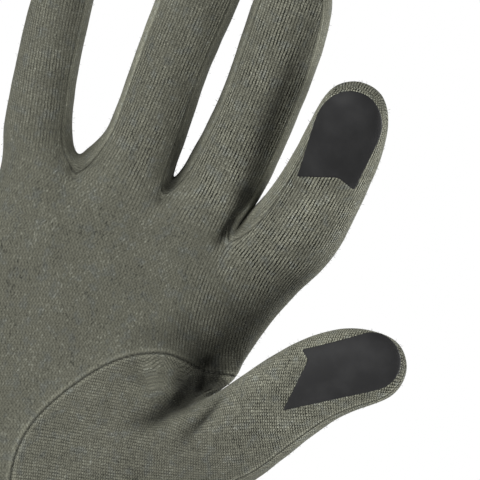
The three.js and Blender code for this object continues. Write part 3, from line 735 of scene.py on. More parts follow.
def rounded_cage():
    """The cage rounded by subdivision, with the cut piece of each face and its place on the flat cloth."""
    cage = glove_cage()
    mesh = bpy.data.meshes.new("glove cage")
    mesh.from_pydata([p * MM for p in cage.points], [], [corners for _, corners in cage.faces])
    owners = mesh.attributes.new("cut_piece", "INT", "FACE")
    layer = mesh.uv_layers.new(name=CLOTH_UV)
    for polygon, (piece, corners) in zip(mesh.polygons, cage.faces):
        owners.data[polygon.index].value = CUT_PIECES.index(piece)
        for loop, place in zip(polygon.loop_indices, flat_corners(cage, piece, corners)):
            layer.data[loop].uv = place
    obj = linked("glove cage", mesh)
    rounding = obj.modifiers.new("Rounding", "SUBSURF")
    rounding.levels = rounding.render_levels = SURFACE_LEVELS
    rounding.use_limit_surface = True
    rounding.uv_smooth = "PRESERVE_BOUNDARIES"
    return evaluated_mesh(obj)


@functools.cache
def glove_form():
    """The rounded cage with the folds and the unevenness of worn cloth."""
    rounded = rounded_cage()
    form = Form(rounded)
    bpy.data.meshes.remove(rounded)
    shift = UNEVENNESS * np.array([noise.noise(Vector(p) / UNEVEN_SPACING) for p in form.points])
    tree = form.tree()
    palm_folds = heights_along(PALM_FOLDS, form, tree, 1)
    # Painted shade and painted light: crease darkens the cloth's colour along the listed lines of shade and
    # in the palm's fold valleys, and makes it paler on ridges and along lines of negative height.
    form.crease = np.clip(heights_along(PAINTED_SHADES, form, tree, 1) - palm_folds / CREASE_DEPTH, *CREASE_RANGE)
    folds = palm_folds * smoothstep(*FOLD_SLOPES, -form.normals[:, 1])
    folds += heights_along(BACK_FOLDS, form, tree, -1) * smoothstep(*FOLD_SLOPES, form.normals[:, 1])
    slide = SLIDE_DIRECTION - form.normals * (form.normals @ SLIDE_DIRECTION)[:, None]
    form.points += slide * heights_along(SEAM_SLIDES, form, tree, 1)[:, None]
    form.points += form.normals * (shift + folds)[:, None] + fills(form)
    form.points += eased_seams(form)
    form.normals = point_normals(form.points, form.quads)
    for piece in CUT_PIECES[:-1]:
        settle_stitches(form, piece)
    return form


SETTLING_ROUNDS = 60
SETTLING_MOMENTUM = 0.9
QUAD_PAIRS = tuple(itertools.combinations(range(4), 2))


def settle_stitches(form, piece):
    """Evens out a piece's flat places on the fine surface."""
    mine, used, quads = form.part(piece)
    places = np.zeros((len(used), 2))
    places[quads.ravel()] = form.flat[mine].reshape(-1, 2)
    pairs = np.concatenate([quads[:, pair] for pair in QUAD_PAIRS])
    ends = np.unique(np.sort(pairs, axis=1), axis=0).T
    points = form.points[used]
    rest = np.linalg.norm(points[ends[1]] - points[ends[0]], axis=1)
    form.flat[mine] = relaxed(places, ends, rest, SETTLING_ROUNDS, SETTLING_MOMENTUM)[quads]


SEAM_EASING_ROUNDS = 120
SEAM_EASING_REACH = 3.5


def eased_seams(form):
    """How far each point moves along the cloth so that the thumb's seams run in smooth curves."""
    used, edges = seam_edges(form, STITCHED_SEAMS)
    ends = np.array(edges).T
    uses = np.bincount(ends.ravel(), minlength=len(used))[:, None]
    inside = uses == 2
    points = form.points[used]
    for _ in range(SEAM_EASING_ROUNDS):
        sums = np.zeros_like(points)
        np.add.at(sums, ends[0], points[ends[1]])
        np.add.at(sums, ends[1], points[ends[0]])
        points = np.where(inside, (points + sums / uses) / 2, points)
    moved = points - form.points[used]
    away, which = nearest(form.points, form.points[used])
    shift = moved[which] * np.exp(-((away / SEAM_EASING_REACH) ** 2))[:, None]
    return shift - form.normals * np.sum(shift * form.normals, axis=1, keepdims=True)


def seam_edges(form, pairs):
    """The points between each pair of cut pieces, and the edges that join them, as places in that list."""
    wanted = {frozenset((CUT_PIECES.index(a), CUT_PIECES.index(b))) for a, b in pairs}
    owners = {}
    for quad, owner in zip(form.quads.tolist(), form.owner.tolist()):
        for edge in zip(quad, quad[1:] + quad[:1]):
            owners.setdefault(tuple(sorted(edge)), set()).add(owner)
    edges = sorted(edge for edge, both in owners.items() if frozenset(both) in wanted)
    used = sorted({point for edge in edges for point in edge})
    slots = {point: i for i, point in enumerate(used)}
    return used, [(slots[a], slots[b]) for a, b in edges]


def heights_along(named_lines, form, tree, side):
    """Height of all lines at every point of the form. Each line fades out over its width."""
    total = np.zeros(len(form.points))
    for rows in named_lines.values():
        places = [np.array(first_hit(tree, row["x"], row["z"], side)[0]) for row in rows]
        height = np.zeros(len(form.points))
        for a, b, start, end in zip(rows, rows[1:], places, places[1:]):
            away, along = away_from_line(form.points, start, end)
            width = lerp(a["width"], b["width"], along)
            here = lerp(a["height"], b["height"], along) * np.exp(-((away / width) ** 2))
            height = np.where(np.abs(here) > np.abs(height), here, height)
        total += height
    return total


# Where the cloth is drawn out along a line: the thumb's web, and the corner between little and ring finger.
FILLS = table(
    "start end reach shift",
    ((27.5, -14, 114), (30, -7, 119.5), 5, (1.7, 0, 0)),
    ((-27.5, -2, 157), (-24, -3, 161), 3.2, (-1, 0, 0.7)),
)


def fills(form):
    """How far each point is drawn out."""
    total = np.zeros_like(form.points)
    for row in FILLS:
        start, end = np.array(row["start"]), np.array(row["end"])
        away = away_from_line(form.points, start, end)[0]
        total += np.exp(-((away / row["reach"]) ** 2))[:, None] * np.array(row["shift"])
    return total


def away_from_line(points, start, end):
    """Distance of each point from a line between two places, and how far along the line its foot is."""
    run = end - start
    along = np.clip((points - start) @ run / (run @ run), 0, 1)
    return np.linalg.norm(points - start - along[:, None] * run, axis=1), along


FAR_OFF = 500  # a distance well outside the glove


def first_hit(tree, x, z, side=1):
    """Where a line along Y first meets the palm side, or the back with side -1, and the normal there."""
    hit, normal, _, _ = tree.ray_cast(Vector((x, -FAR_OFF * side, z)), Vector((0, side, 0)))
    if hit is None:
        raise ValueError(f"no cloth at x {x:.1f}, z {z:.1f}")
    return hit, normal


def rim_edges(quads, count):
    """Directed edges with a face on one side only, and the face and corner that each starts from."""
    starts, ends = quads.ravel(), np.roll(quads, -1, axis=1).ravel()
    is_rim = ~np.isin(starts * count + ends, ends * count + starts)
    return starts[is_rim], ends[is_rim], np.flatnonzero(is_rim)


def nearest(points, targets):
    """For each point the distance to the nearest target, and which target that is."""
    tree = KDTree(len(targets))
    for i, target in enumerate(targets):
        tree.insert(target, i)
    tree.balance()
    found = [tree.find(p)[1:] for p in points]
    return np.array([distance for _, distance in found]), np.array([index for index, _ in found])


def away_from(points, targets):
    return nearest(points, targets)[0]


# The cut pieces and how their cloth varies

# Ranges in millimetres over which the cloth changes: heights, places across the hand, and distances.
KNUCKLE_HEIGHTS = (132, 150)
ROOT_HEIGHTS = (150, 175)
PALENESS_HEIGHTS = (150, 174)
SIDE_HEIGHTS = (158, 175)
START_X = (8, 24)
INDEX_SIDE_X = (18, 24)
INDEX_X = (18, 26)
WEB_REACH = (6, 15)
SIDE_WEB_REACH = (7, 17)
TIP_REACH = (6.5, 10.5)
THUMB_RISE = (-6, 22)
SIDE_DEPTHS = (-2, 7)

# How much the wales stand out.
RUBBED_WALES = 0.1
THUMB_WALES, UPPER_THUMB_WALES, THUMB_TIP_WALES = 0.28, 0.03, 0.25
WEB_WALES = 0.12
SIDE_WALES, INDEX_SIDE_WALES = 0.3, 0.8
TIP_WALES = 0.75
# The heights where the palm's wales start to part below the little and index finger, and the way to full.
LITTLE_START, INDEX_START, START_TO_FULL = 143, 128, 22
# The wales also part in this corner of the palm, below the index finger.
CORNER_X, CORNER_HEIGHTS, CORNER_WALES = (2, 18), (112, 126), 0.45
# How much the wales stand out on each finger, rising towards the index finger: x at the finger's root.
FINGER_WALE_CONTRAST = table("x share", (-48, 0.42), (-17, 0.58), (7, 0.95), (30, 1.15))


def crispness(points, piece):
    """How much the wales stand out, from little on the soft rubbed palm to 1 on the index finger."""
    tips = near_tips(points)
    if piece in (THUMB_FRONT, THUMB_BACK):
        return THUMB_WALES + UPPER_THUMB_WALES * up_the_thumb(points) + THUMB_TIP_WALES * tips
    x, z = points[:, 0], points[:, 2]
    to_web = away_from_webs(points)
    start = lerp(LITTLE_START, INDEX_START, smoothstep(*START_X, x))
    wales = lerp(RUBBED_WALES, between(FINGER_WALE_CONTRAST, x), smoothstep(start, start + START_TO_FULL, z))
    corner = CORNER_WALES * smoothstep(*CORNER_X, x) * smoothstep(*CORNER_HEIGHTS, z)
    wales = np.maximum(wales, RUBBED_WALES + corner) * lerp(WEB_WALES, 1, smoothstep(*WEB_REACH, to_web))
    if piece in FOURCHETTES:
        side = lerp(SIDE_WALES, INDEX_SIDE_WALES, smoothstep(*INDEX_SIDE_X, x))
        return wales * lerp(1, side, smoothstep(*SIDE_HEIGHTS, z)) * smoothstep(*SIDE_WEB_REACH, to_web)
    return wales * lerp(1, TIP_WALES, tips)


def away_from_webs(points):
    """Distance from the places where two fingers meet."""
    return away_from(points, np.array([finger["web"] for finger in FINGERS.values() if finger["web"]]))


def near_tips(points):
    """From 0 along the fingers and the thumb to 1 on their tips."""
    rings = [*(finger["rings"][-1] for finger in FINGERS.values()), THUMB_RINGS[-1]]
    return 1 - smoothstep(*TIP_REACH, away_from(points, np.array([at(ring) for ring in rings])))


# How much paler than the palm the cloth is: partly the paler look of thin, stretched cloth and partly
# painted light on places that the lamps leave dark.
BALL_PALENESS, THUMB_PALENESS = 1.1, 1.54
# Painted light on the thumb: its lower and upper edges, the lower ball and its back piece are made paler.
LOWER_BALL_PALER, THUMB_EDGE_PALER = 0.2, 0.6
BALL_BACK_PALENESS, THUMB_BACK_PALENESS = 1.12, 2
LOWER_EDGE, UPPER_EDGE = (2, -9), (3, 10)  # beside the thumb's axis
INDEX_PALENESS = 1.55
# The same for the fourchettes on the sides of the fingers, from the little finger to the index finger.
SIDE_PALENESS = table(
    "x share",
    (-38, 1.3), (-30, 1.9), (-24, 1.9), (-12, 1.05), (-7, 1.05),
    (-2, 1.3), (8, 1.3), (14, 1.9), (18, 1.9), (26, 1.4),
)


def paleness_with_painted_light(points, piece):
    """How much paler than the palm the cloth is, up the fingers, the fourchettes and the thumb: partly thin
    stretched cloth, partly painted light.
    """
    if piece == THUMB_BACK:
        return lerp(BALL_BACK_PALENESS, THUMB_BACK_PALENESS, up_the_thumb(points))
    if piece == THUMB_FRONT:
        lower = smoothstep(*LOWER_EDGE, beside_thumb(points))
        upper = smoothstep(*UPPER_EDGE, beside_thumb(points))
        thumb = THUMB_PALENESS + THUMB_EDGE_PALER * lower + THUMB_EDGE_PALER * upper
        return lerp(BALL_PALENESS + LOWER_BALL_PALER * lower, thumb, up_the_thumb(points))
    x = points[:, 0]
    if piece in FOURCHETTES:
        palest = between(SIDE_PALENESS, x)
    else:
        palest = lerp(1, INDEX_PALENESS, smoothstep(*INDEX_X, x) * facing_palm(points))
    return lerp(1, palest, smoothstep(*PALENESS_HEIGHTS, points[:, 2]))


def facing_palm(points):
    """From 1 on the palm side of the fingers to 0 on their backs."""
    rings = [ring for finger in FINGERS.values() for ring in finger["rings"]]
    which = nearest(points, np.array([at(ring) for ring in rings]))[1]
    behind = points[:, 1] - np.array([ring["y"] for ring in rings])[which]
    return 1 - smoothstep(*SIDE_DEPTHS, behind)


def beside_thumb(points):
    """How far each point lies to the index finger's side of the thumb's axis."""
    centres = np.array([at(ring) for ring in THUMB_RINGS])
    return (points - centres[nearest(points, centres)[1]]) @ unit(np.array(THUMB_TO_WEB))


def up_the_thumb(points):
    """From 0 on the thumb's ball to 1 on the thumb itself."""
    root, upper = at(THUMB_RINGS[0]), at(THUMB_RINGS[2])
    axis = np.array((upper - root).normalized())
    return smoothstep(*THUMB_RISE, (points - np.array(root)) @ axis)


# How much the rows of stitches stand out.
THUMB_ROWS, UPPER_THUMB_ROWS = 1, 0.7
PALM_ROWS, FINGER_ROWS, TIP_ROWS = 0.22, 0.12, 1.1
# The rows turn at this x and z on the thumb's ball, where they are rubbed flat.
SOFT_SPOT, SOFT_SPOT_REACH, SOFT_SPOT_ROWS = (12.3, 112.3), (2, 9), 0.4


def row_contrast(points, piece):
    """How much the rows stand out. They are strongest on the thumb, which is stretched lengthwise."""
    if piece not in (THUMB_FRONT, THUMB_BACK):
        on_finger = smoothstep(*ROOT_HEIGHTS, points[:, 2])
        return PALM_ROWS + FINGER_ROWS * on_finger + TIP_ROWS * near_tips(points)
    rows = THUMB_ROWS + UPPER_THUMB_ROWS * up_the_thumb(points)
    if piece == THUMB_FRONT:
        from_spot = np.hypot(points[:, 0] - SOFT_SPOT[0], points[:, 2] - SOFT_SPOT[1])
        rows = rows * lerp(SOFT_SPOT_ROWS, 1, smoothstep(*SOFT_SPOT_REACH, from_spot))
    return rows


# How open each kind of seam is. The seams along the fingers and the one facing the index finger close up.
SEAM_OPENNESS = {"closed": 0.07, "finger": 0.22, "lower thumb": 0.35, "hand": 0.45, "cuff": 0.8}
UPPER_SEAM = 3  # how far on the index finger's side of the thumb's axis its closed seam lies
TIGHT_GAP = 0.15  # the share of the gap that is left at a closed seam
EDGE_ROLL_WIDTH = 0.55
SHARP_ANGLE = math.radians(50)


def seam_depth(points, piece, is_thumb_seam):
    """How open the seam is at each point of a piece's rim."""
    if piece in (THUMB_FRONT, THUMB_BACK):
        is_upper = beside_thumb(points) > UPPER_SEAM
        thumb_seam = np.where(is_upper, SEAM_OPENNESS["closed"], SEAM_OPENNESS["lower thumb"])
        return np.where(is_thumb_seam, thumb_seam, SEAM_OPENNESS["hand"])
    if piece == CUFF:
        return np.full(len(points), float(SEAM_OPENNESS["cuff"]))
    on_finger = lerp(SEAM_OPENNESS["finger"], SEAM_OPENNESS["closed"], near_tips(points))
    return lerp(SEAM_OPENNESS["hand"], on_finger, smoothstep(*KNUCKLE_HEIGHTS, points[:, 2]))


def into_piece(points, normals, quads, starts, ends):
    """Directions along the cloth from the rim into the piece, squarely across the rim."""
    run = np.zeros_like(points)
    np.add.at(run, starts, unit(points[ends] - points[starts]))
    np.add.at(run, ends, unit(points[ends] - points[starts]))
    inward = np.zeros_like(points)
    centres = points[quads].mean(axis=1)
    for k in range(4):
        np.add.at(inward, quads[:, k], centres - points[quads[:, k]])
    for axis in (unit(run), normals):
        inward -= axis * np.sum(inward * axis, axis=1, keepdims=True)
    return unit(inward)


def cut_piece(piece, cloth):
    """One cut piece: its part of the form, rolled in along its seams, and given the cloth's thickness."""
    form = glove_form()
    mine, used, quads = form.part(piece)
    count = len(used)
    points, normals, flat = form.points[used], form.normals[used], form.flat[mine]
    starts, ends, corners = rim_edges(quads, count)
    rim = np.unique(starts)
    to_seam, nearest_rim = nearest(points, points[rim])
    front_and_back = [np.isin(used[rim], form.part(thumb)[1]) for thumb in (THUMB_FRONT, THUMB_BACK)]
    depth = seam_depth(points[rim], piece, np.logical_and(*front_and_back))[nearest_rim]

    # The rim is drawn in across the seam by half the gap, and the cloth beside it dips.
    half_gap = cloth.seam_gap / MM / 2 * lerp(TIGHT_GAP, 1, depth[rim])
    points[rim] += into_piece(points, normals, quads, starts, ends)[rim] * half_gap[:, None]
    roll = cloth.edge_roll / MM * depth * np.exp(-((to_seam / EDGE_ROLL_WIDTH) ** 2))
    points -= normals * roll[:, None]

    inner = points - normals * (cloth.wall / MM)
    sides = np.stack([ends, starts, starts + count, ends + count], axis=1)
    after = corners // 4 * 4 + (corners + 1) % 4
    flat_of = flat.reshape(-1, 2)
    side_flat = flat_of[np.stack([after, corners, corners, after], axis=1)]
    faces = np.concatenate([quads, quads[:, ::-1] + count, sides])
    flats = np.concatenate([flat, flat[:, ::-1], side_flat])
    obj = mesh_object(f"{piece}_cloth", np.concatenate([points, inner]), faces.tolist())
    layer = obj.data.uv_layers.new(name=CLOTH_UV)
    layer.data.foreach_set("uv", flats.ravel().astype(np.float32))
    attributes = {
        "to_seam": to_seam,
        "crisp": crispness(points, piece),
        "rows": row_contrast(points, piece),
        "seam_depth": depth,
        "to_pad": distance_to_pads(points),
        # painted shade and painted light of the creases, ridges and lines of shade
        "crease": form.crease[used],
        # paleness, partly painted light
        "fair": paleness_with_painted_light(points, piece),
    }
    for name, values in attributes.items():
        add_attribute(obj.data, name, np.tile(values, 2))
    obj.data.set_sharp_from_angle(angle=SHARP_ANGLE)
    spread = flat_of.max(axis=0) - flat_of.min(axis=0)
    return obj, tuple(float(side) * MM for side in spread), float(flat_area(flat)) * MM * MM


def flat_area(flat):
    a, b, c, d = (flat[:, k] for k in range(4))
    p, q = c - a, d - b
    return abs((p[:, 0] * q[:, 1] - p[:, 1] * q[:, 0]).sum()) / 2


def mesh_object(name, points_mm, faces):
    mesh = bpy.data.meshes.new(name)
    mesh.from_pydata((np.asarray(points_mm) * MM).tolist(), [], list(faces))
    mesh.polygons.foreach_set("use_smooth", np.ones(len(mesh.polygons), dtype=bool))
    return linked(name, mesh)


def add_attribute(mesh, name, values):
    attribute = mesh.attributes.new(name, "FLOAT", "POINT")
    attribute.data.foreach_set("value", np.asarray(values, dtype=np.float32))


# The touch pads

PADS = {
    "touch_pad_index": {
        "centre": (31, 186), "lean": 2.6, "half_width": 8.1, "lower_half_width": 7.2,
        "side_top": 4, "arch_height": 8.6,
        "lower_left": -12.3, "notch": (0.33, -8.8), "lower_right": -10.2,
    },
    "touch_pad_thumb": {
        "centre": (54.3, 133.9), "lean": -52, "half_width": 6.9, "lower_half_width": 6.7,
        "side_top": 6.5, "arch_height": 7.2,
        "lower_left": -9.2, "notch": (-0.6, -8.3), "lower_right": -17.6,
    },
}
PAD_EDGE_STEPS = 44  # places along each of the four sides of a pad
PAD_RINGS = 22
RING_CROWDING = 1.6  # how much closer the rings are near the edge than at the middle
PAD_CORNER = 0.55  # how far from a corner its rounding starts
CORNER_SAMPLES = 7
PAD_FAR = 30  # a distance from the pads beyond which nothing changes
PAD_FRONT = -8  # the pads lie in front of this y
EDGE_SOFTNESS = 0.5  # how far in from its edge the film reaches its full thickness
UNDER_DEPTH = 0.3


def pad_place(pad, across, share):
    """A place seen from the palm: across from -1 to 1, and a share of the way from lower to upper edge."""
    top = pad["side_top"] + pad["arch_height"] * math.sqrt(max(0, 1 - across * across))
    notch_across, notch_along = pad["notch"]
    lower_edge = (pad["lower_left"], notch_along, pad["lower_right"])
    bottom = float(np.interp(across, (-1, notch_across, 1), lower_edge))
    along = lerp(bottom, top, share)
    upper = float(smoothstep(pad["lower_left"], pad["side_top"], along))
    sideways = across * lerp(pad["lower_half_width"], pad["half_width"], upper)
    lean = math.radians(pad["lean"])
    x, z = pad["centre"]
    return (
        x + sideways * math.cos(lean) - along * math.sin(lean),
        z + sideways * math.sin(lean) + along * math.cos(lean),
    )


@functools.cache
def pad_outline(name):
    """Evenly spaced places round a pad's edge as seen from the palm, with rounded corners, anticlockwise."""
    pad = PADS[name]
    steps = np.linspace(0, 1, PAD_EDGE_STEPS)[:-1]
    arc = [-math.cos(math.pi * t) for t in steps]
    edge = [pad_place(pad, a, 0) for a in arc] + [pad_place(pad, 1, t) for t in steps]
    edge += [pad_place(pad, -a, 1) for a in arc] + [pad_place(pad, -1, 1 - t) for t in steps]
    edge = np.array([*edge, edge[0]])
    lengths = np.concatenate([[0], np.cumsum(np.linalg.norm(np.diff(edge, axis=0), axis=1))])

    def at_length(where):
        where = where % lengths[-1]
        return np.stack([np.interp(where, lengths, edge[:, k]) for k in (0, 1)], axis=-1)

    even = np.linspace(0, lengths[-1], 4 * PAD_EDGE_STEPS + 1)[:-1]
    shifts = np.linspace(-PAD_CORNER, PAD_CORNER, CORNER_SAMPLES)
    return np.mean([at_length(even + shift) for shift in shifts], axis=0)


@functools.cache
def cloth_tree():
    return glove_form().tree()


def on_palm(x, z):
    return first_hit(cloth_tree(), x, z)


def distance_to_pads(points):
    """Distance to the nearest pad's edge, negative under the pad."""
    distance = np.full(len(points), float(PAD_FAR))
    for name, pad in PADS.items():
        x, z = pad["centre"]
        near = (np.abs(points[:, 0] - x) < PAD_FAR) & (np.abs(points[:, 2] - z) < PAD_FAR)
        close = np.flatnonzero(near & (points[:, 1] < PAD_FRONT))
        outline = pad_outline(name)
        away = away_from(points[close], [on_palm(*place)[0] for place in outline])
        inside = is_inside(outline, points[close][:, [0, 2]])
        distance[close] = np.minimum(distance[close], np.where(inside, -away, away))
    return distance


def is_inside(outline, places):
    """Whether each place lies inside a closed outline, by the number of its edges to the right."""
    inside = np.zeros(len(places), dtype=bool)
    for (x0, z0), (x1, z1) in zip(outline, np.roll(outline, -1, axis=0)):
        if z0 == z1:
            continue
        spans = (z0 > places[:, 1]) != (z1 > places[:, 1])
        inside ^= spans & (places[:, 0] < x0 + (places[:, 1] - z0) * (x1 - x0) / (z1 - z0))
    return inside


def touch_pad(name, film):
    """A pad of smooth film on the cloth: rings inside its outline, thinning to a soft round edge."""
    outline = pad_outline(name)
    centre = np.array(PADS[name]["centre"])
    count = len(outline)
    shares = [1 - (r / PAD_RINGS) ** RING_CROWDING for r in range(PAD_RINGS)]
    seen = [*(place for share in shares for place in centre + (outline - centre) * share), centre]
    places, normals = (np.array(values) for values in zip(*(on_palm(*place) for place in seen)))
    around = np.arange(count)
    onward = np.roll(around, -1)
    quads = []
    for ring in count * np.arange(PAD_RINGS - 1):
        inner = ring + count
        quads += np.stack([ring + around, ring + onward, inner + onward, inner + around], axis=1).tolist()
    inmost = (PAD_RINGS - 1) * count
    total = len(places)
    fan = [(inmost + a, inmost + b, total - 1) for a, b in zip(around, onward)]
    top_faces = [*quads, *fan]
    reach = np.clip(away_from(places, places[:count]) / EDGE_SOFTNESS, 0, 1)
    height = film.lift / MM + film.thickness / MM * np.sqrt(1 - (1 - reach) ** 2)
    top = places + normals * height[:, None]
    under = places + normals * (film.lift / MM - UNDER_DEPTH)
    under_faces = [tuple(c + total for c in reversed(face)) for face in top_faces]
    sides = [(b, a, a + total, b + total) for a, b in zip(around.tolist(), onward.tolist())]
    pad = mesh_object(f"{name}_film", np.concatenate([top, under]), [*top_faces, *under_faces, *sides])
    pad.data.set_sharp_from_angle(angle=SHARP_ANGLE)
    return pad


# Node trees

ROD_STEPS = 4


class Graph:
    """Adds nodes to a tree and feeds their inputs with numbers, colours or other nodes' outputs."""

    def __init__(self, tree):
        self.tree = tree

    def node(self, kind, *inputs, **settings):
        """A new node with its inputs fed in order."""
        node = self.tree.nodes.new(kind)
        for name, value in settings.items():
            setattr(node, name, value)
        for socket, value in zip(node.inputs, inputs):
            self.feed(socket, value)
        return node

    def named(self, kind, inputs, **settings):
        """A new node with its inputs fed by name."""
        node = self.node(kind, **settings)
        for name, value in inputs.items():
            self.feed(node.inputs[name], value)
        return node

    def feed(self, socket, value):
        if isinstance(value, bpy.types.NodeSocket):
            self.tree.links.new(value, socket)
        else:
            socket.default_value = value

    def math(self, operation, *inputs):
        return self.node("ShaderNodeMath", *inputs, operation=operation).outputs[0]

    def product(self, value, *factors):
        for factor in factors:
            value = self.math("MULTIPLY", value, factor)
        return value

    def plus(self, base, extra, share=1.0):
        """The base with a share of something extra."""
        return self.math("MULTIPLY_ADD", extra, share, base)

    def minus(self, a, b):
        return self.math("SUBTRACT", a, b)

    def step(self, x, low, high, at_low=0.0, at_high=1.0):
        """A smooth step from one value to another as x goes from low to high."""
        ends = (x, low, high, at_low, at_high)
        return self.node("ShaderNodeMapRange", *ends, interpolation_type="SMOOTHSTEP").outputs[0]

    def mix(self, factor, a, b, blend="MIX"):
        node = self.node("ShaderNodeMix", data_type="RGBA", blend_type=blend, clamp_factor=True)
        self.feed(node.inputs["Factor"], factor)
        for name, value in (("A", a), ("B", b)):
            self.feed(socket_of(node.inputs, name, "RGBA"), value)
        return socket_of(node.outputs, "Result", "RGBA")

    def shaded(self, colour, shade):
        """A colour made lighter or darker by a shade."""
        return self.mix(1.0, colour, self.vector(shade, shade, shade), "MULTIPLY")

    def vector(self, x, y, z=0.0):
        return self.node("ShaderNodeCombineXYZ", x, y, z).outputs[0]

    def noise(self, place, scale, detail=2.0, roughness=0.5, dimensions="2D"):
        inputs = {"Vector": place, "Scale": scale, "Detail": detail, "Roughness": roughness}
        return self.named("ShaderNodeTexNoise", inputs, noise_dimensions=dimensions).outputs[0]

    def wandering(self, value, place, waves):
        """A value carried off by waves of noise, each with its scale and its reach."""
        for scale, reach in waves:
            value = self.plus(value, self.noise(place, scale), reach)
        return value

    def attribute(self, name):
        return self.node("ShaderNodeAttribute", attribute_name=name).outputs["Fac"]

    def object_place(self):
        return self.node("ShaderNodeTexCoord").outputs["Object"]

    def given_attribute(self, name, kind):
        """An attribute of the geometry, in a Geometry Nodes tree."""
        node = self.named("GeometryNodeInputNamedAttribute", {"Name": name}, data_type=kind)
        return node.outputs["Attribute"]

    def random(self, kind, low, high, seed):
        """A random value for each point, in a Geometry Nodes tree."""
        node = self.named("FunctionNodeRandomValue", {"Seed": seed}, data_type=kind)
        width = "VECTOR" if kind == "FLOAT_VECTOR" else "VALUE"
        for name, value in (("Min", low), ("Max", high)):
            self.feed(socket_of(node.inputs, name, width), value)
        return socket_of(node.outputs, "Value", width)

    def bent_rod(self, start, middle, end, radius, sides):
        """A round rod with closed ends along a bend through three places."""
        bend = {"Resolution": ROD_STEPS, "Start": start, "Middle": middle, "End": end}
        section = {"Resolution": sides, "Radius": radius}
        rod = {
            "Curve": self.named("GeometryNodeCurveQuadraticBezier", bend).outputs[0],
            "Profile Curve": self.named("GeometryNodeCurvePrimitiveCircle", section).outputs[0],
            "Fill Caps": True,
        }
        return self.named("GeometryNodeCurveToMesh", rod).outputs[0]

    def finish_geometry(self, points, inputs, material):
        """Places copies on points, makes them real and gives them their material."""
        placed = self.named("GeometryNodeInstanceOnPoints", {"Points": points, **inputs})
        real = self.named("GeometryNodeRealizeInstances", {"Geometry": placed.outputs[0]})
        dressed = {"Geometry": real.outputs[0], "Material": material}
        painted = self.named("GeometryNodeSetMaterial", dressed)
        self.named("NodeGroupOutput", {"Geometry": painted.outputs[0]})


def socket_of(sockets, name, kind):
    """The socket of that name and kind. Some nodes have one name for several kinds."""
    return next(socket for socket in sockets if socket.name == name and socket.type == kind)


# Loose fibres and stitches

FIBRE_SEED = 11
STITCH_SINK = 0.12  # how far the middle of a stitch lies under the edges of its seam
STITCHED_SEAMS = ((PALM, THUMB_FRONT), (BACK, THUMB_BACK), (THUMB_FRONT, THUMB_BACK))
CUFF_SEAMS = tuple((CUFF, piece) for piece in (PALM, BACK, THUMB_FRONT, THUMB_BACK))
HEM_HEIGHT = 14
HEM_POINTS = 120
CLEAR_OF_CUFF = 100  # a distance from the cuff's axis that lies well outside it
FIBRE_SIDES = 3
FIBRE_BEND = ((0.0, -0.1), (0.0, 0.75), (0.5, 0.85))  # start, middle and tip: across and up, by its length
FIBRE_LEAN = 0.7  # how far a fibre leans at most, in radians
FIBRE_SCALES = (0.45, 1.3)  # the smallest and the largest, beside the usual fibre
THREAD_SIDES = 5
BARE_BESIDE_PAD = 0.6  # no fibre stands closer to a pad than this


def grow(ground, tree, values):
    """Runs a node tree on an object and returns the plain mesh that it makes. The object is removed."""
    modifier = ground.modifiers.new(tree.name, "NODES")
    modifier.node_group = tree
    for item in tree.interface.items_tree:
        if item.item_type == "SOCKET" and item.in_out == "INPUT" and item.name in values:
            modifier[item.identifier] = values[item.name]
    return evaluated_mesh(ground)


def new_tree(name, inputs):
    """A Geometry Nodes tree with a geometry going in and out, and the named inputs."""
    tree = bpy.data.node_groups.new(name, "GeometryNodeTree")
    tree.is_modifier = True
    tree.interface.new_socket("Geometry", in_out="INPUT", socket_type="NodeSocketGeometry")
    tree.interface.new_socket("Geometry", in_out="OUTPUT", socket_type="NodeSocketGeometry")
    for label, kind in inputs.items():
        tree.interface.new_socket(label, in_out="INPUT", socket_type=f"NodeSocket{kind}")
    return Graph(tree)


FIBRE_INPUTS = {"Density": "Float", "Length": "Float", "Radius": "Float", "Seed": "Int"}


def fibre_tree(material):
    """Short bent fibres that stand up from the cloth at random, clear of the pads."""
    g = new_tree("loose fibres", FIBRE_INPUTS)
    given = g.node("NodeGroupInput").outputs
    scattered = {
        "Mesh": given["Geometry"],
        "Density": g.product(given["Density"], g.given_attribute("bare", "FLOAT")),
        "Seed": given["Seed"],
    }
    scatter = g.named("GeometryNodeDistributePointsOnFaces", scattered, distribute_method="RANDOM").outputs
    length = given["Length"]
    places = [g.vector(g.product(length, across), 0.0, g.product(length, up)) for across, up in FIBRE_BEND]
    fibre = g.bent_rod(*places, given["Radius"], FIBRE_SIDES)
    lean = (FIBRE_LEAN, FIBRE_LEAN, math.tau)
    turn = g.random("FLOAT_VECTOR", (-FIBRE_LEAN, -FIBRE_LEAN, 0.0), lean, 1)
    stand = g.node("FunctionNodeRotateRotation", scatter["Rotation"], turn, rotation_space="LOCAL")
    copies = {"Instance": fibre, "Rotation": stand.outputs[0], "Scale": g.random("FLOAT", *FIBRE_SCALES, 2)}
    g.finish_geometry(scatter["Points"], copies, material)
    return g.tree


STITCH_INPUTS = {"Pitch": "Float", "Length": "Float", "Radius": "Float", "Sink": "Float"}


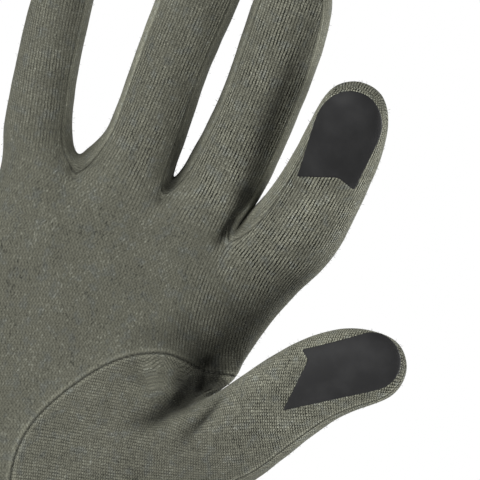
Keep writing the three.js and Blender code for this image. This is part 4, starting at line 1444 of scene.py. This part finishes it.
def stitch_tree(material):
    """Short thread bars one behind the other along a line, each sunk in the cloth at both ends."""
    g = new_tree("stitches", STITCH_INPUTS)
    given = g.node("NodeGroupInput").outputs
    line = g.named("GeometryNodeMeshToCurve", {"Mesh": given["Geometry"]})
    steps = {"Curve": line.outputs[0], "Length": given["Pitch"]}
    spaced = g.named("GeometryNodeResampleCurve", steps, mode="LENGTH")

    # A bar starts and ends under the cloth and bends up over it.
    half = g.product(given["Length"], 0.5)
    low = g.product(given["Radius"], -1.5)
    top = g.vector(0.0, 0.0, g.product(given["Radius"], 2.0))
    start, end = g.vector(g.product(half, -1.0), 0.0, low), g.vector(half, 0.0, low)
    bar = g.bent_rod(start, top, end, given["Radius"], THREAD_SIDES)

    outward = g.given_attribute("outward", "FLOAT_VECTOR")
    sunk = {"Vector": outward, "Scale": g.product(given["Sink"], -1.0)}
    offset = g.named("ShaderNodeVectorMath", sunk, operation="SCALE")
    moved = g.named("GeometryNodeSetPosition", {"Geometry": spaced.outputs[0], "Offset": offset.outputs[0]})
    tangent = g.node("GeometryNodeInputTangent").outputs[0]
    axes = {"Primary Axis": tangent, "Secondary Axis": outward}
    aim = g.named("FunctionNodeAxesToRotation", axes, primary_axis="X", secondary_axis="Z")
    g.finish_geometry(moved.outputs[0], {"Instance": bar, "Rotation": aim.outputs[0]}, material)
    return g.tree


def fibre_ground():
    """The glove's outside, with the attribute bare, which is 0 on and near the pads and 1 elsewhere."""
    form = glove_form()
    ground = mesh_object("fibre ground", form.points, form.quads.tolist())
    is_bare = distance_to_pads(form.points) > BARE_BESIDE_PAD
    add_attribute(ground.data, "bare", is_bare.astype(float))
    return ground


def seam_line(pairs):
    """The line between each pair of cut pieces, as edges with the outward direction at their points."""
    form = glove_form()
    used, edges = seam_edges(form, pairs)
    return line_object(form.points[used], form.normals[used], edges)


def hem_line():
    """A ring round the cuff at the height of the hem, where the hem stitches run."""
    points, normals = [], []
    for angle in np.linspace(0, math.tau, HEM_POINTS + 1)[:-1]:
        outward = Vector((math.cos(angle), math.sin(angle), 0))
        start = outward * CLEAR_OF_CUFF + Vector((0, 0, HEM_HEIGHT))
        hit, normal, _, _ = cloth_tree().ray_cast(start, -outward)
        points.append(hit)
        normals.append(normal)
    edges = [(i, (i + 1) % HEM_POINTS) for i in range(HEM_POINTS)]
    return line_object(np.array(points), np.array(normals), edges)


def line_object(points_mm, outward, edges):
    mesh = bpy.data.meshes.new("seam line")
    mesh.from_pydata((points_mm * MM).tolist(), edges, [])
    attribute = mesh.attributes.new("outward", "FLOAT_VECTOR", "POINT")
    attribute.data.foreach_set("vector", np.asarray(outward, dtype=np.float32).ravel())
    return linked("seam line", mesh)


# Materials


def new_material(name):
    material = bpy.data.materials.new(name)
    material.use_nodes = True
    material.node_tree.nodes.clear()
    return material, Graph(material.node_tree)


def finish_material(g, looks):
    """Ends a material in one shader with the given inputs."""
    shader = g.named("ShaderNodeBsdfPrincipled", looks).outputs[0]
    g.named("ShaderNodeOutputMaterial", {"Surface": shader})


PAINTED_CREASE_SHADE = 0.74  # how much darker the painted shade makes the cloth in the deepest crease
STROKE_LEAN = math.radians(30)  # how far the strokes of rubbed cloth lean from its wales
COOL_TINT = (0.92, 1.0, 1.22, 1)  # the shade of the bluer patches, beside the yarn's own
LEG_SLANT = 0.4  # how much higher a stitch's leg ends at the wale's side than at its middle, in courses
SIDE_CONTRAST = 0.85  # how much the stitches of the fourchettes stand out beside the others

# Worn wales and rows wander: scales of their noise, and how far each carries them in millimetres.
WALE_WAVES = ((0.11, 0.3), (0.9, 0.35))
ROW_WAVES = ((0.13, 0.6), (1.1, 0.45))

# Smooth steps: where each starts and ends, and its values there when they aren't 0 and 1.
STRAND_EDGE = (0.5, 0.15)  # away from a leg's middle, in courses
GROOVE_EDGE = (0.48, 0.2)  # away from a wale's middle, in wales
MIDDLE_DIP = (0.0, 0.14, 0.8, 1.0)
GROOVE_BREAKS = (0.38, 0.58, 0.35, 1.0)
ROW_BREAKS = (0.36, 0.6, 0.4, 1.0)
CRISP_PATCHES = (0.38, 0.62, 0.6, 1.25)
COOL_PATCHES = (0.5, 0.72)
RUBBED_CLOTH = (0.45, 0.1)  # by how much the wales stand out
SEAM_DASHES = (0.36, 0.56, 0.25, 1.0)
DARK_SEAM = (0.5, 0.05)  # away from the seam, in millimetres, as the next two are
# Where the painted highlights beside a seam and beside a pad start and end.
EDGE_START, EDGE_END = (0.3, 0.7), (1.7, 0.9)
RIM_START, RIM_END = (0.0, 0.2), (0.9, 0.5)  # away from a pad
OPEN_SEAMS = (0.07, 0.35)

# The heather: shares of a leg's shade, of streaks and of clouds in its tone, and the tones of the fibres.
LEG_SHARE, STREAK_SHARE, CLOUD_SHARE = 0.22, 0.78, 0.25
DARK_TONE, YARN_TONES, LIGHT_TONE = 0.24, (0.42, 0.58), 0.8
STREAK_SCALES, STROKE_SCALES = (3.4, 1.3), (1.9, 0.8, 1.0)
STROKE_SHARE, COOL_SHARE = 0.6, 0.4

# How much painted shade darkens a place and painted light lightens it.
GROOVE_DARKNESS, LEAST_ROW_DARKNESS, ROW_DARKNESS = 0.96, 0.05, 0.68
RIDGE_LIGHT, BRICK_LIGHT, EDGE_LIGHT, RIM_LIGHT = 1.35, 0.24, 0.4, 0.35

# Scales of the noise in film, thread and loose fibres, in a metre.
FILM_GRAIN, FILM_RUBBING = 2600.0, 160.0
THREAD_PLIES, THREAD_PATCHES, FIBRE_PATCHES = 2200.0, 900.0, 420.0


class Stitches:
    """Which stitch each place of the flat cloth lies in. Wales run up the cloth, and rows across it."""

    def __init__(self, g, flat, cloth):
        u, v = g.node("ShaderNodeSeparateXYZ", flat).outputs[:2]
        self.across = g.wandering(u, flat, WALE_WAVES)
        self.along = g.wandering(v, g.vector(v, u), ROW_WAVES)
        self.wale = g.math("DIVIDE", self.across, cloth.wale / MM)
        self.column = g.math("FLOOR", self.wale)
        self.from_middle = g.minus(g.minus(self.wale, self.column), 0.5)
        aside = g.math("ABSOLUTE", self.from_middle)
        self.level = g.math("DIVIDE", self.along, cloth.course / MM)
        course = g.minus(self.level, g.product(aside, LEG_SLANT * 2))
        self.row = g.math("FLOOR", course)
        across_leg = g.math("ABSOLUTE", g.minus(g.minus(course, self.row), 0.5))

        # Each leg is a round strand. The wales part in a groove, and the two legs meet in a shallow one.
        self.strand = g.step(across_leg, *STRAND_EDGE)
        self.groove = g.step(aside, *GROOVE_EDGE)
        self.height = g.product(self.strand, g.step(aside, *MIDDLE_DIP), self.groove)


def heathered(g, flat, stitch, rubbed, cloth):
    """The yarn's colour, and its streaks. Every leg has its own shade, with faint clouds over them all."""
    side = g.math("GREATER_THAN", stitch.from_middle, 0.0)
    leg = g.vector(g.plus(side, stitch.column, 2.0), stitch.row)
    shade = g.node("ShaderNodeTexWhiteNoise", leg, noise_dimensions="2D").outputs[0]
    places = zip((stitch.across, stitch.along), STREAK_SCALES)
    straight = g.noise(g.vector(*(g.product(place, scale) for place, scale in places)), 1.0, 3.0, 0.65)
    lean = {"Vector": flat, "Angle": STROKE_LEAN}
    leaning = g.named("ShaderNodeVectorRotate", lean, rotation_type="Z_AXIS")
    long = g.node("ShaderNodeVectorMath", leaning.outputs[0], STROKE_SCALES, operation="MULTIPLY")
    strokes = g.noise(long.outputs[0], 1.0, 2.0, 0.55)
    streaks = g.plus(straight, g.minus(strokes, straight), g.product(rubbed, STROKE_SHARE))
    clouds = g.minus(g.noise(flat, 0.09, 3.0, 0.55), 0.5)
    tone = g.plus(g.plus(g.product(shade, LEG_SHARE), streaks, STREAK_SHARE), clouds, CLOUD_SHARE)
    ramp = g.node("ShaderNodeValToRGB", tone)
    stops = ramp.color_ramp.elements
    for stop, position, fibre in zip(stops, (DARK_TONE, LIGHT_TONE), (cloth.dark_fibre, cloth.light_fibre)):
        stop.position = position
        stop.color = (*fibre, 1)
    for position in YARN_TONES:
        stops.new(position).color = (*cloth.yarn, 1)
    bluer = g.mix(1.0, ramp.outputs[0], COOL_TINT, "MULTIPLY")
    cool = g.step(g.noise(flat, 0.3, 3.0, 0.6), *COOL_PATCHES)
    return g.mix(g.product(cool, COOL_SHARE), ramp.outputs[0], bluer), streaks


def stitch_light(g, stitch, crisp, rows, rubbed):
    """Painted shade and light of the stitches: the colour darkens in the grooves beside wales and between
    rows, where shade falls, and lightens on the ridges.
    """
    # A groove's painted shade is broken: some stretches of it are dark, and others are closed.
    beside = g.math("FLOOR", g.math("ADD", stitch.wale, 0.5))
    breaks = g.noise(g.vector(g.product(beside, 5.7), g.product(stitch.along, 0.5)), 1.0, 2.0, 0.6)
    groove_depth = g.product(crisp, GROOVE_DARKNESS, g.step(breaks, *GROOVE_BREAKS))
    row_breaks = g.noise(g.vector(g.product(stitch.across, 0.55), g.product(stitch.row, 5.7)), 1.0, 2.0, 0.6)
    row_depth = g.plus(LEAST_ROW_DARKNESS, rows, ROW_DARKNESS)
    strand_depth = g.product(row_depth, g.step(row_breaks, *ROW_BREAKS))
    in_groove = g.minus(1.0, g.product(g.minus(1.0, stitch.groove), groove_depth))
    in_gap = g.minus(1.0, g.product(g.minus(1.0, stitch.strand), strand_depth))
    ridge = g.plus(1.0, g.product(stitch.groove, crisp), RIDGE_LIGHT)

    # On rubbed cloth every other stitch of a wale is painted darker, as shade where it sinks in, and the
    # next one paler, which leaves short strokes like brickwork.
    wave_across = g.math("COSINE", g.product(stitch.wale, math.tau))
    wave_along = g.math("COSINE", g.product(stitch.level, math.pi))
    brick = g.plus(1.0, g.product(wave_across, wave_along), g.product(rubbed, BRICK_LIGHT))
    return g.product(in_groove, in_gap, ridge, brick)


def edge_light(g, flat):
    """The seams are dark, and a painted highlight lightens the turned edge beside a seam and the knit rim
    beside a pad.
    """
    to_seam, open_seam, to_pad = (g.attribute(name) for name in ("to_seam", "seam_depth", "to_pad"))
    dashes = g.step(g.noise(flat, 1.3), *SEAM_DASHES)
    seam_dark = g.product(g.step(to_seam, *DARK_SEAM), open_seam, dashes)
    # Painted highlights on the turned edge beside an open seam and on the knit rim beside a pad.
    beside = g.product(g.step(to_seam, *EDGE_START), g.step(to_seam, *EDGE_END))
    turned = g.product(beside, g.step(open_seam, *OPEN_SEAMS))
    rim = g.product(g.step(to_pad, *RIM_START), g.step(to_pad, *RIM_END))
    return g.product(g.minus(g.plus(1.0, turned, EDGE_LIGHT), seam_dark), g.plus(1.0, rim, RIM_LIGHT))


def knit_material(name, cloth, contrast=1.0):
    """Fine heathered jersey. Its stitches follow the flat cloth and stand out by the piece's attributes."""
    material, g = new_material(name)
    flat = g.node("ShaderNodeUVMap", uv_map=CLOTH_UV).outputs[0]
    patches = g.step(g.noise(flat, 0.17), *CRISP_PATCHES)
    crisp = g.product(g.attribute("crisp"), contrast, patches)
    rows = g.product(g.attribute("rows"), contrast)
    rubbed = g.step(g.attribute("crisp"), *RUBBED_CLOTH)
    stitch = Stitches(g, flat, cloth)
    colour, streaks = heathered(g, flat, stitch, rubbed, cloth)
    stitch_shade = stitch_light(g, stitch, crisp, rows, rubbed)
    # Painted shade and painted light: the colour is darkened between the stitches, in creases and on sides
    # turned from the lamps, and lightened by painted highlights beside seams and pads, on ridges and by the
    # paleness attribute.
    sunk = g.plus(1.0, g.attribute("crease"), -PAINTED_CREASE_SHADE)
    light = g.product(stitch_shade, edge_light(g, flat), g.attribute("fair"), sunk)
    depth = g.plus(g.product(crisp, 0.85), rows, 0.25)
    relief = g.plus(g.product(stitch.height, depth), streaks, 0.25)
    bump = g.named("ShaderNodeBump", {"Strength": 0.9, "Distance": cloth.relief, "Height": relief})
    looks = {
        "Base Color": g.shaded(colour, light),
        "Normal": bump.outputs[0],
        "Roughness": 0.95,
        "Specular IOR Level": 0.15,
        "Sheen Weight": 0.2,
        "Sheen Roughness": 0.6,
        "Sheen Tint": (*cloth.light_fibre, 1),
    }
    finish_material(g, looks)
    return material


def film_material(name, film):
    """Smooth satin film with the faintest grain."""
    material, g = new_material(name)
    place = g.object_place()
    grain = g.noise(place, FILM_GRAIN, 3.0, 0.6, "3D")
    rubbed = g.noise(place, FILM_RUBBING, 3.0, 0.5, "3D")
    bump = g.named("ShaderNodeBump", {"Strength": 0.35, "Distance": 0.00004, "Height": grain})
    looks = {
        "Base Color": g.mix(g.step(rubbed, 0.35, 0.7), (*film.colour, 1), (*film.rubbed_colour, 1)),
        "Roughness": g.plus(film.roughness - 0.1, rubbed, 0.2),
        "Normal": bump.outputs[0],
        "Specular IOR Level": 0.1,
    }
    finish_material(g, looks)
    return material


def thread_material(name, thread):
    """Matt twisted thread."""
    material, g = new_material(name)
    place = g.object_place()
    bands = {"Vector": place, "Scale": THREAD_PLIES}
    ply = g.named("ShaderNodeTexWave", bands, wave_type="BANDS", bands_direction="DIAGONAL")
    shade = g.step(g.noise(place, THREAD_PATCHES, 2.0, 0.5, "3D"), 0.3, 0.7, 0.7, 1.3)
    twisted = g.shaded((*thread.colour, 1), g.product(shade, g.plus(0.8, ply.outputs["Fac"], 0.4)))
    finish_material(g, {"Base Color": twisted, "Roughness": 0.85, "Specular IOR Level": 0.2})
    return material


def fibre_material(name, fibre):
    """Pale and dark wool fibres, each patch of them a little different."""
    material, g = new_material(name)
    patches = g.noise(g.object_place(), FIBRE_PATCHES, 2.0, 0.6, "3D")
    shade = g.step(patches, 0.32, 0.68, 0.45, 1.35)
    colour = g.shaded((*fibre.colour, 1), shade)
    finish_material(g, {"Base Color": colour, "Roughness": 0.8, "Specular IOR Level": 0.2})
    return material


@functools.cache
def cloth_material(kind):
    cloth = bpy.context.scene.glove_cloth
    if kind == "side":
        return knit_material("wool knit of the fourchettes", cloth, SIDE_CONTRAST)
    return knit_material("wool knit", cloth)


def ground_material(name, colour):
    """Matt pale ground that fades out towards its edge."""
    material, g = new_material(name)
    away = g.node("ShaderNodeVectorMath", g.object_place(), operation="LENGTH").outputs["Value"]
    pale = g.named("ShaderNodeBsdfPrincipled", {"Base Color": (*colour, 1), "Roughness": 0.9})
    clear = g.node("ShaderNodeBsdfTransparent")
    fade = g.step(away, *(FLOOR_REACH * share for share in FLOOR_FADE))
    faded = g.node("ShaderNodeMixShader", fade, pale.outputs[0], clear.outputs[0])
    g.named("ShaderNodeOutputMaterial", {"Surface": faded.outputs[0]})
    return material


# Settings, and one operator for each group of pieces


class GloveCloth(bpy.types.PropertyGroup):
    wall: bpy.props.FloatProperty(
        name="Cloth thickness", description="Thickness of the jersey", default=0.0012, unit="LENGTH"
    )
    seam_gap: bpy.props.FloatProperty(
        name="Seam gap", description="Clear space between two cut pieces", default=0.0003, unit="LENGTH"
    )
    edge_roll: bpy.props.FloatProperty(
        name="Edge roll",
        description="How far an edge dips into its seam",
        default=0.00035,
        unit="LENGTH",
    )
    wale: bpy.props.FloatProperty(
        name="Wale width", description="Width of one column of stitches", default=0.00086, unit="LENGTH"
    )
    course: bpy.props.FloatProperty(
        name="Course height", description="Height of one row of stitches", default=0.00068, unit="LENGTH"
    )
    relief: bpy.props.FloatProperty(
        name="Stitch relief",
        description="Depth of the grooves between stitches",
        default=0.00028,
        unit="LENGTH",
    )
    yarn: bpy.props.FloatVectorProperty(
        name="Yarn",
        description="Main shade of the heathered yarn",
        default=(0.099, 0.099, 0.077),
        subtype="COLOR",
    )
    light_fibre: bpy.props.FloatVectorProperty(
        name="Light fibre",
        description="Palest fibres of the yarn",
        default=(0.205, 0.209, 0.17),
        subtype="COLOR",
    )
    dark_fibre: bpy.props.FloatVectorProperty(
        name="Dark fibre",
        description="Darkest fibres of the yarn",
        default=(0.03, 0.031, 0.025),
        subtype="COLOR",
    )


class GloveThread(bpy.types.PropertyGroup):
    pitch: bpy.props.FloatProperty(
        name="Stitch pitch", description="From one stitch to the next", default=0.0014, unit="LENGTH"
    )
    stitch: bpy.props.FloatProperty(
        name="Stitch length", description="Length of thread that shows", default=0.0009, unit="LENGTH"
    )
    thickness: bpy.props.FloatProperty(
        name="Thread", description="Thickness of the sewing thread", default=0.0002, unit="LENGTH"
    )
    colour: bpy.props.FloatVectorProperty(
        name="Thread colour",
        description="Colour of the sewing thread",
        default=(0.05, 0.051, 0.042),
        subtype="COLOR",
    )


class GloveFibre(bpy.types.PropertyGroup):
    density: bpy.props.FloatProperty(
        name="Fibres", description="Loose fibres in a square metre of cloth", default=115000
    )
    length: bpy.props.FloatProperty(
        name="Fibre length", description="Usual length of a loose fibre", default=0.00065, unit="LENGTH"
    )
    thickness: bpy.props.FloatProperty(
        name="Fibre thickness", description="Thickness of a loose fibre", default=0.000055, unit="LENGTH"
    )
    colour: bpy.props.FloatVectorProperty(
        name="Fibre colour",
        description="Colour of the loose fibres",
        default=(0.13, 0.132, 0.107),
        subtype="COLOR",
    )


class GloveFilm(bpy.types.PropertyGroup):
    thickness: bpy.props.FloatProperty(
        name="Film thickness",
        description="Height of a pad above its edge",
        default=0.0004,
        unit="LENGTH",
    )
    lift: bpy.props.FloatProperty(
        name="Lift", description="Height of a pad's edge above the cloth", default=0.00025, unit="LENGTH"
    )
    colour: bpy.props.FloatVectorProperty(
        name="Film", description="Colour of the film", default=(0.023, 0.023, 0.0235), subtype="COLOR"
    )
    rubbed_colour: bpy.props.FloatVectorProperty(
        name="Rubbed film",
        description="Colour where use has dulled it",
        default=(0.031, 0.031, 0.0315),
        subtype="COLOR",
    )
    roughness: bpy.props.FloatProperty(
        name="Roughness",
        description="Roughness of the film",
        default=0.58,
        min=0,
        max=1,
        subtype="FACTOR",
    )


class GloveStage(bpy.types.PropertyGroup):
    camera_distance: bpy.props.FloatProperty(
        name="Camera distance", description="From the camera to the palm", default=0.8, unit="LENGTH"
    )
    frame_width: bpy.props.FloatProperty(
        name="Frame width",
        description="Width of the picture at the palm",
        default=0.12576,
        unit="LENGTH",
    )
    camera_roll: bpy.props.FloatProperty(
        name="Camera roll",
        description="Turn of the picture about its middle",
        default=math.radians(24),
        subtype="ANGLE",
    )
    ground: bpy.props.FloatVectorProperty(
        name="Ground",
        description="Colour of floor and backdrop",
        default=(0.92, 0.92, 0.92),
        subtype="COLOR",
    )
    key_power: bpy.props.FloatProperty(
        name="Key light", description="Power of the main light", default=25, unit="POWER"
    )
    fill_power: bpy.props.FloatProperty(
        name="Fill light",
        description="Power of the soft light in front on the thumb's side",
        default=6.8,
        unit="POWER",
    )
    rim_power: bpy.props.FloatProperty(
        name="Rim light", description="Power of the light behind the glove", default=7, unit="POWER"
    )
    surround: bpy.props.FloatProperty(
        name="Surround light", description="Strength of the soft light from all sides", default=0.2
    )


def dress(obj, material, slot, *nodes):
    """Gives a finished piece its material and its body, and hides the nodes that it stands for. The slot is
    not used.
    """
    obj.data.materials.clear()
    obj.data.materials.append(material)
    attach(obj, BODY)
    if nodes:
        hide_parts(*nodes)


def sew(*pieces, kind="main"):
    cloth = bpy.context.scene.glove_cloth
    for piece in pieces:
        obj, flat, area = cut_piece(piece, cloth)
        dress(obj, cloth_material(kind), "wool_knit", piece)


class GLOVE_OT_hand_pieces(bpy.types.Operator):
    """Sews the palm and the back, which each run up the four fingers"""

    bl_idname = "glove.hand_pieces"
    bl_label = "Palm and Back"

    def execute(self, context):
        sew(PALM, BACK)
        return {"FINISHED"}


class GLOVE_OT_fourchettes(bpy.types.Operator):
    """Sews the strips between the fingers"""

    bl_idname = "glove.fourchettes"
    bl_label = "Fourchettes"

    def execute(self, context):
        sew(*FOURCHETTES, kind="side")
        return {"FINISHED"}


class GLOVE_OT_thumb_pieces(bpy.types.Operator):
    """Sews the front and the back of the thumb"""

    bl_idname = "glove.thumb_pieces"
    bl_label = "Thumb"

    def execute(self, context):
        sew(THUMB_FRONT, THUMB_BACK)
        return {"FINISHED"}


class GLOVE_OT_cuff(bpy.types.Operator):
    """Sews the plain cuff"""

    bl_idname = "glove.cuff"
    bl_label = "Cuff"

    def execute(self, context):
        sew(CUFF)
        return {"FINISHED"}


class GLOVE_OT_stitches(bpy.types.Operator):
    """Sews the thumb's seams, the cuff's seam and the hem"""

    bl_idname = "glove.stitches"
    bl_label = "Stitches"

    def execute(self, context):
        thread = context.scene.glove_thread
        material = thread_material("sewing thread", thread)
        tree = stitch_tree(material)
        sizes = {"Pitch": thread.pitch, "Length": thread.stitch, "Radius": thread.thickness / 2}
        for name, line, sink in (
            ("thumb_stitches", seam_line(STITCHED_SEAMS), STITCH_SINK * MM),
            ("cuff_stitches", seam_line(CUFF_SEAMS), STITCH_SINK * MM),
            ("hem_stitches", hem_line(), 0.0),
        ):
            dress(linked(name, grow(line, tree, {**sizes, "Sink": sink})), material, "wool_knit")
        return {"FINISHED"}


class GLOVE_OT_fibres(bpy.types.Operator):
    """Raises loose fibres all over the cloth"""

    bl_idname = "glove.fibres"
    bl_label = "Loose Fibres"

    def execute(self, context):
        fibre = context.scene.glove_fibre
        material = fibre_material("loose wool fibre", fibre)
        sizes = {
            "Density": fibre.density,
            "Length": fibre.length,
            "Radius": fibre.thickness / 2,
            "Seed": FIBRE_SEED,
        }
        fibres = grow(fibre_ground(), fibre_tree(material), sizes)
        dress(linked("loose_fibres", fibres), material, "wool_knit")
        return {"FINISHED"}


class GLOVE_OT_touch_pads(bpy.types.Operator):
    """Lays the smooth touch pads on the index finger and the thumb"""

    bl_idname = "glove.touch_pads"
    bl_label = "Touch Pads"

    def execute(self, context):
        film = context.scene.glove_film
        material = film_material("touch film", film)
        for name in PADS:
            dress(touch_pad(name, film), material, "touch_film", name)
        return {"FINISHED"}


# The stage

VIEW_CENTRE = Vector((17.4, -12, 152.4)) * MM  # the middle of the picture, at the palm's depth
UPRIGHT = math.radians(90)
SENSOR_WIDTH = 36
LIGHTS = table(
    "name place size power",
    ("key light", (-1.16, -0.89, 0.79), 0.7, "key_power"),
    ("fill light", (0.75, -1.1, 0.21), 0.5, "fill_power"),
    ("rim light", (0.72, 0.5, 0.45), 0.6, "rim_power"),
)
FLOOR_LEVEL = -0.06
FLOOR_REACH = 1.05
FLOOR_FADE = (0.25, 0.95)  # where the floor starts to fade out and where it is gone, as shares of its reach
FLOOR_SIDES = 96


class GLOVE_OT_stage(bpy.types.Operator):
    """Sets up the pale floor and backdrop, the soft lights and the camera"""

    bl_idname = "glove.stage"
    bl_label = "Stage"

    def execute(self, context):
        scene = context.scene
        stage = scene.glove_stage
        scene.view_settings.view_transform = "Standard"
        scene.camera = palm_camera(stage)
        scene.world = studio_world(stage)
        floor = round_floor(stage)
        for light in LIGHTS:
            area_light(light["name"], Vector(light["place"]), light["size"], getattr(stage, light["power"]))
        return {"FINISHED"}


def palm_camera(stage):
    """A camera level with the palm, rolled as the picture is."""
    data = bpy.data.cameras.new("camera")
    data.sensor_width = SENSOR_WIDTH
    data.lens = SENSOR_WIDTH * stage.camera_distance / stage.frame_width
    camera = linked("camera", data)
    turn = Matrix.Rotation(UPRIGHT, 4, "X") @ Matrix.Rotation(stage.camera_roll, 4, "Z")
    place = VIEW_CENTRE - Vector((0, stage.camera_distance, 0))
    camera.matrix_world = Matrix.Translation(place) @ turn
    return camera


def round_floor(stage):
    turns = np.linspace(0, math.tau, FLOOR_SIDES + 1)[:-1]
    edge = [(FLOOR_REACH * math.cos(a), FLOOR_REACH * math.sin(a), FLOOR_LEVEL) for a in turns]
    floor = mesh_object("floor", np.array(edge) / MM, [tuple(range(FLOOR_SIDES))])
    floor.data.materials.append(ground_material("pale floor", stage.ground))
    return floor


def area_light(name, place, size, power):
    data = bpy.data.lights.new(name, "AREA")
    data.size = size
    data.energy = power
    aim = (VIEW_CENTRE - place).to_track_quat("-Z", "Y")
    linked(name, data).matrix_world = Matrix.Translation(place) @ aim.to_matrix().to_4x4()


def studio_world(stage):
    """Soft light from all sides in front of a white studio wall."""
    world = bpy.data.worlds.new("white studio")
    world.use_nodes = True
    world.node_tree.nodes.clear()
    g = Graph(world.node_tree)
    seen = g.node("ShaderNodeLightPath").outputs["Is Camera Ray"]
    white = {"Color": (1, 1, 1, 1), "Strength": g.step(seen, 0.0, 1.0, stage.surround, 1.0)}
    background = g.named("ShaderNodeBackground", white)
    g.named("ShaderNodeOutputWorld", {"Surface": background.outputs[0]})
    return world


class GLOVE_PT_panel(bpy.types.Panel):
    bl_label = "Wool Glove"
    bl_idname = "GLOVE_PT_panel"
    bl_space_type = "VIEW_3D"
    bl_region_type = "UI"
    bl_category = "Wool Glove"

    def draw(self, context):
        layout = self.layout
        for operator in OPERATORS:
            layout.operator(operator.bl_idname)
        for group in (getattr(context.scene, name) for name in SETTINGS):
            box = layout.box()
            for name in group.__annotations__:
                box.prop(group, name)


OPERATORS = (
    GLOVE_OT_hand_pieces,
    GLOVE_OT_fourchettes,
    GLOVE_OT_thumb_pieces,
    GLOVE_OT_cuff,
    GLOVE_OT_touch_pads,
    GLOVE_OT_stitches,
    GLOVE_OT_fibres,
    GLOVE_OT_stage,
)
SETTINGS = {
    "glove_cloth": GloveCloth,
    "glove_film": GloveFilm,
    "glove_thread": GloveThread,
    "glove_fibre": GloveFibre,
    "glove_stage": GloveStage,
}


def register():
    for group in (*SETTINGS.values(), *OPERATORS, GLOVE_PT_panel):
        bpy.utils.register_class(group)
    for name, group in SETTINGS.items():
        setattr(bpy.types.Scene, name, bpy.props.PointerProperty(type=group))


def unregister():
    for name in SETTINGS:
        delattr(bpy.types.Scene, name)
    for group in (GLOVE_PT_panel, *reversed(OPERATORS), *SETTINGS.values()):
        bpy.utils.unregister_class(group)


def main():
    register()
    bpy.ops.glove.hand_pieces()
    bpy.ops.glove.fourchettes()
    bpy.ops.glove.thumb_pieces()
    bpy.ops.glove.cuff()
    bpy.ops.glove.touch_pads()
    bpy.ops.glove.stitches()
    bpy.ops.glove.fibres()
    bpy.ops.glove.stage()
    bpy.context.view_layer.update()


if __name__ == "__main__":
    main()
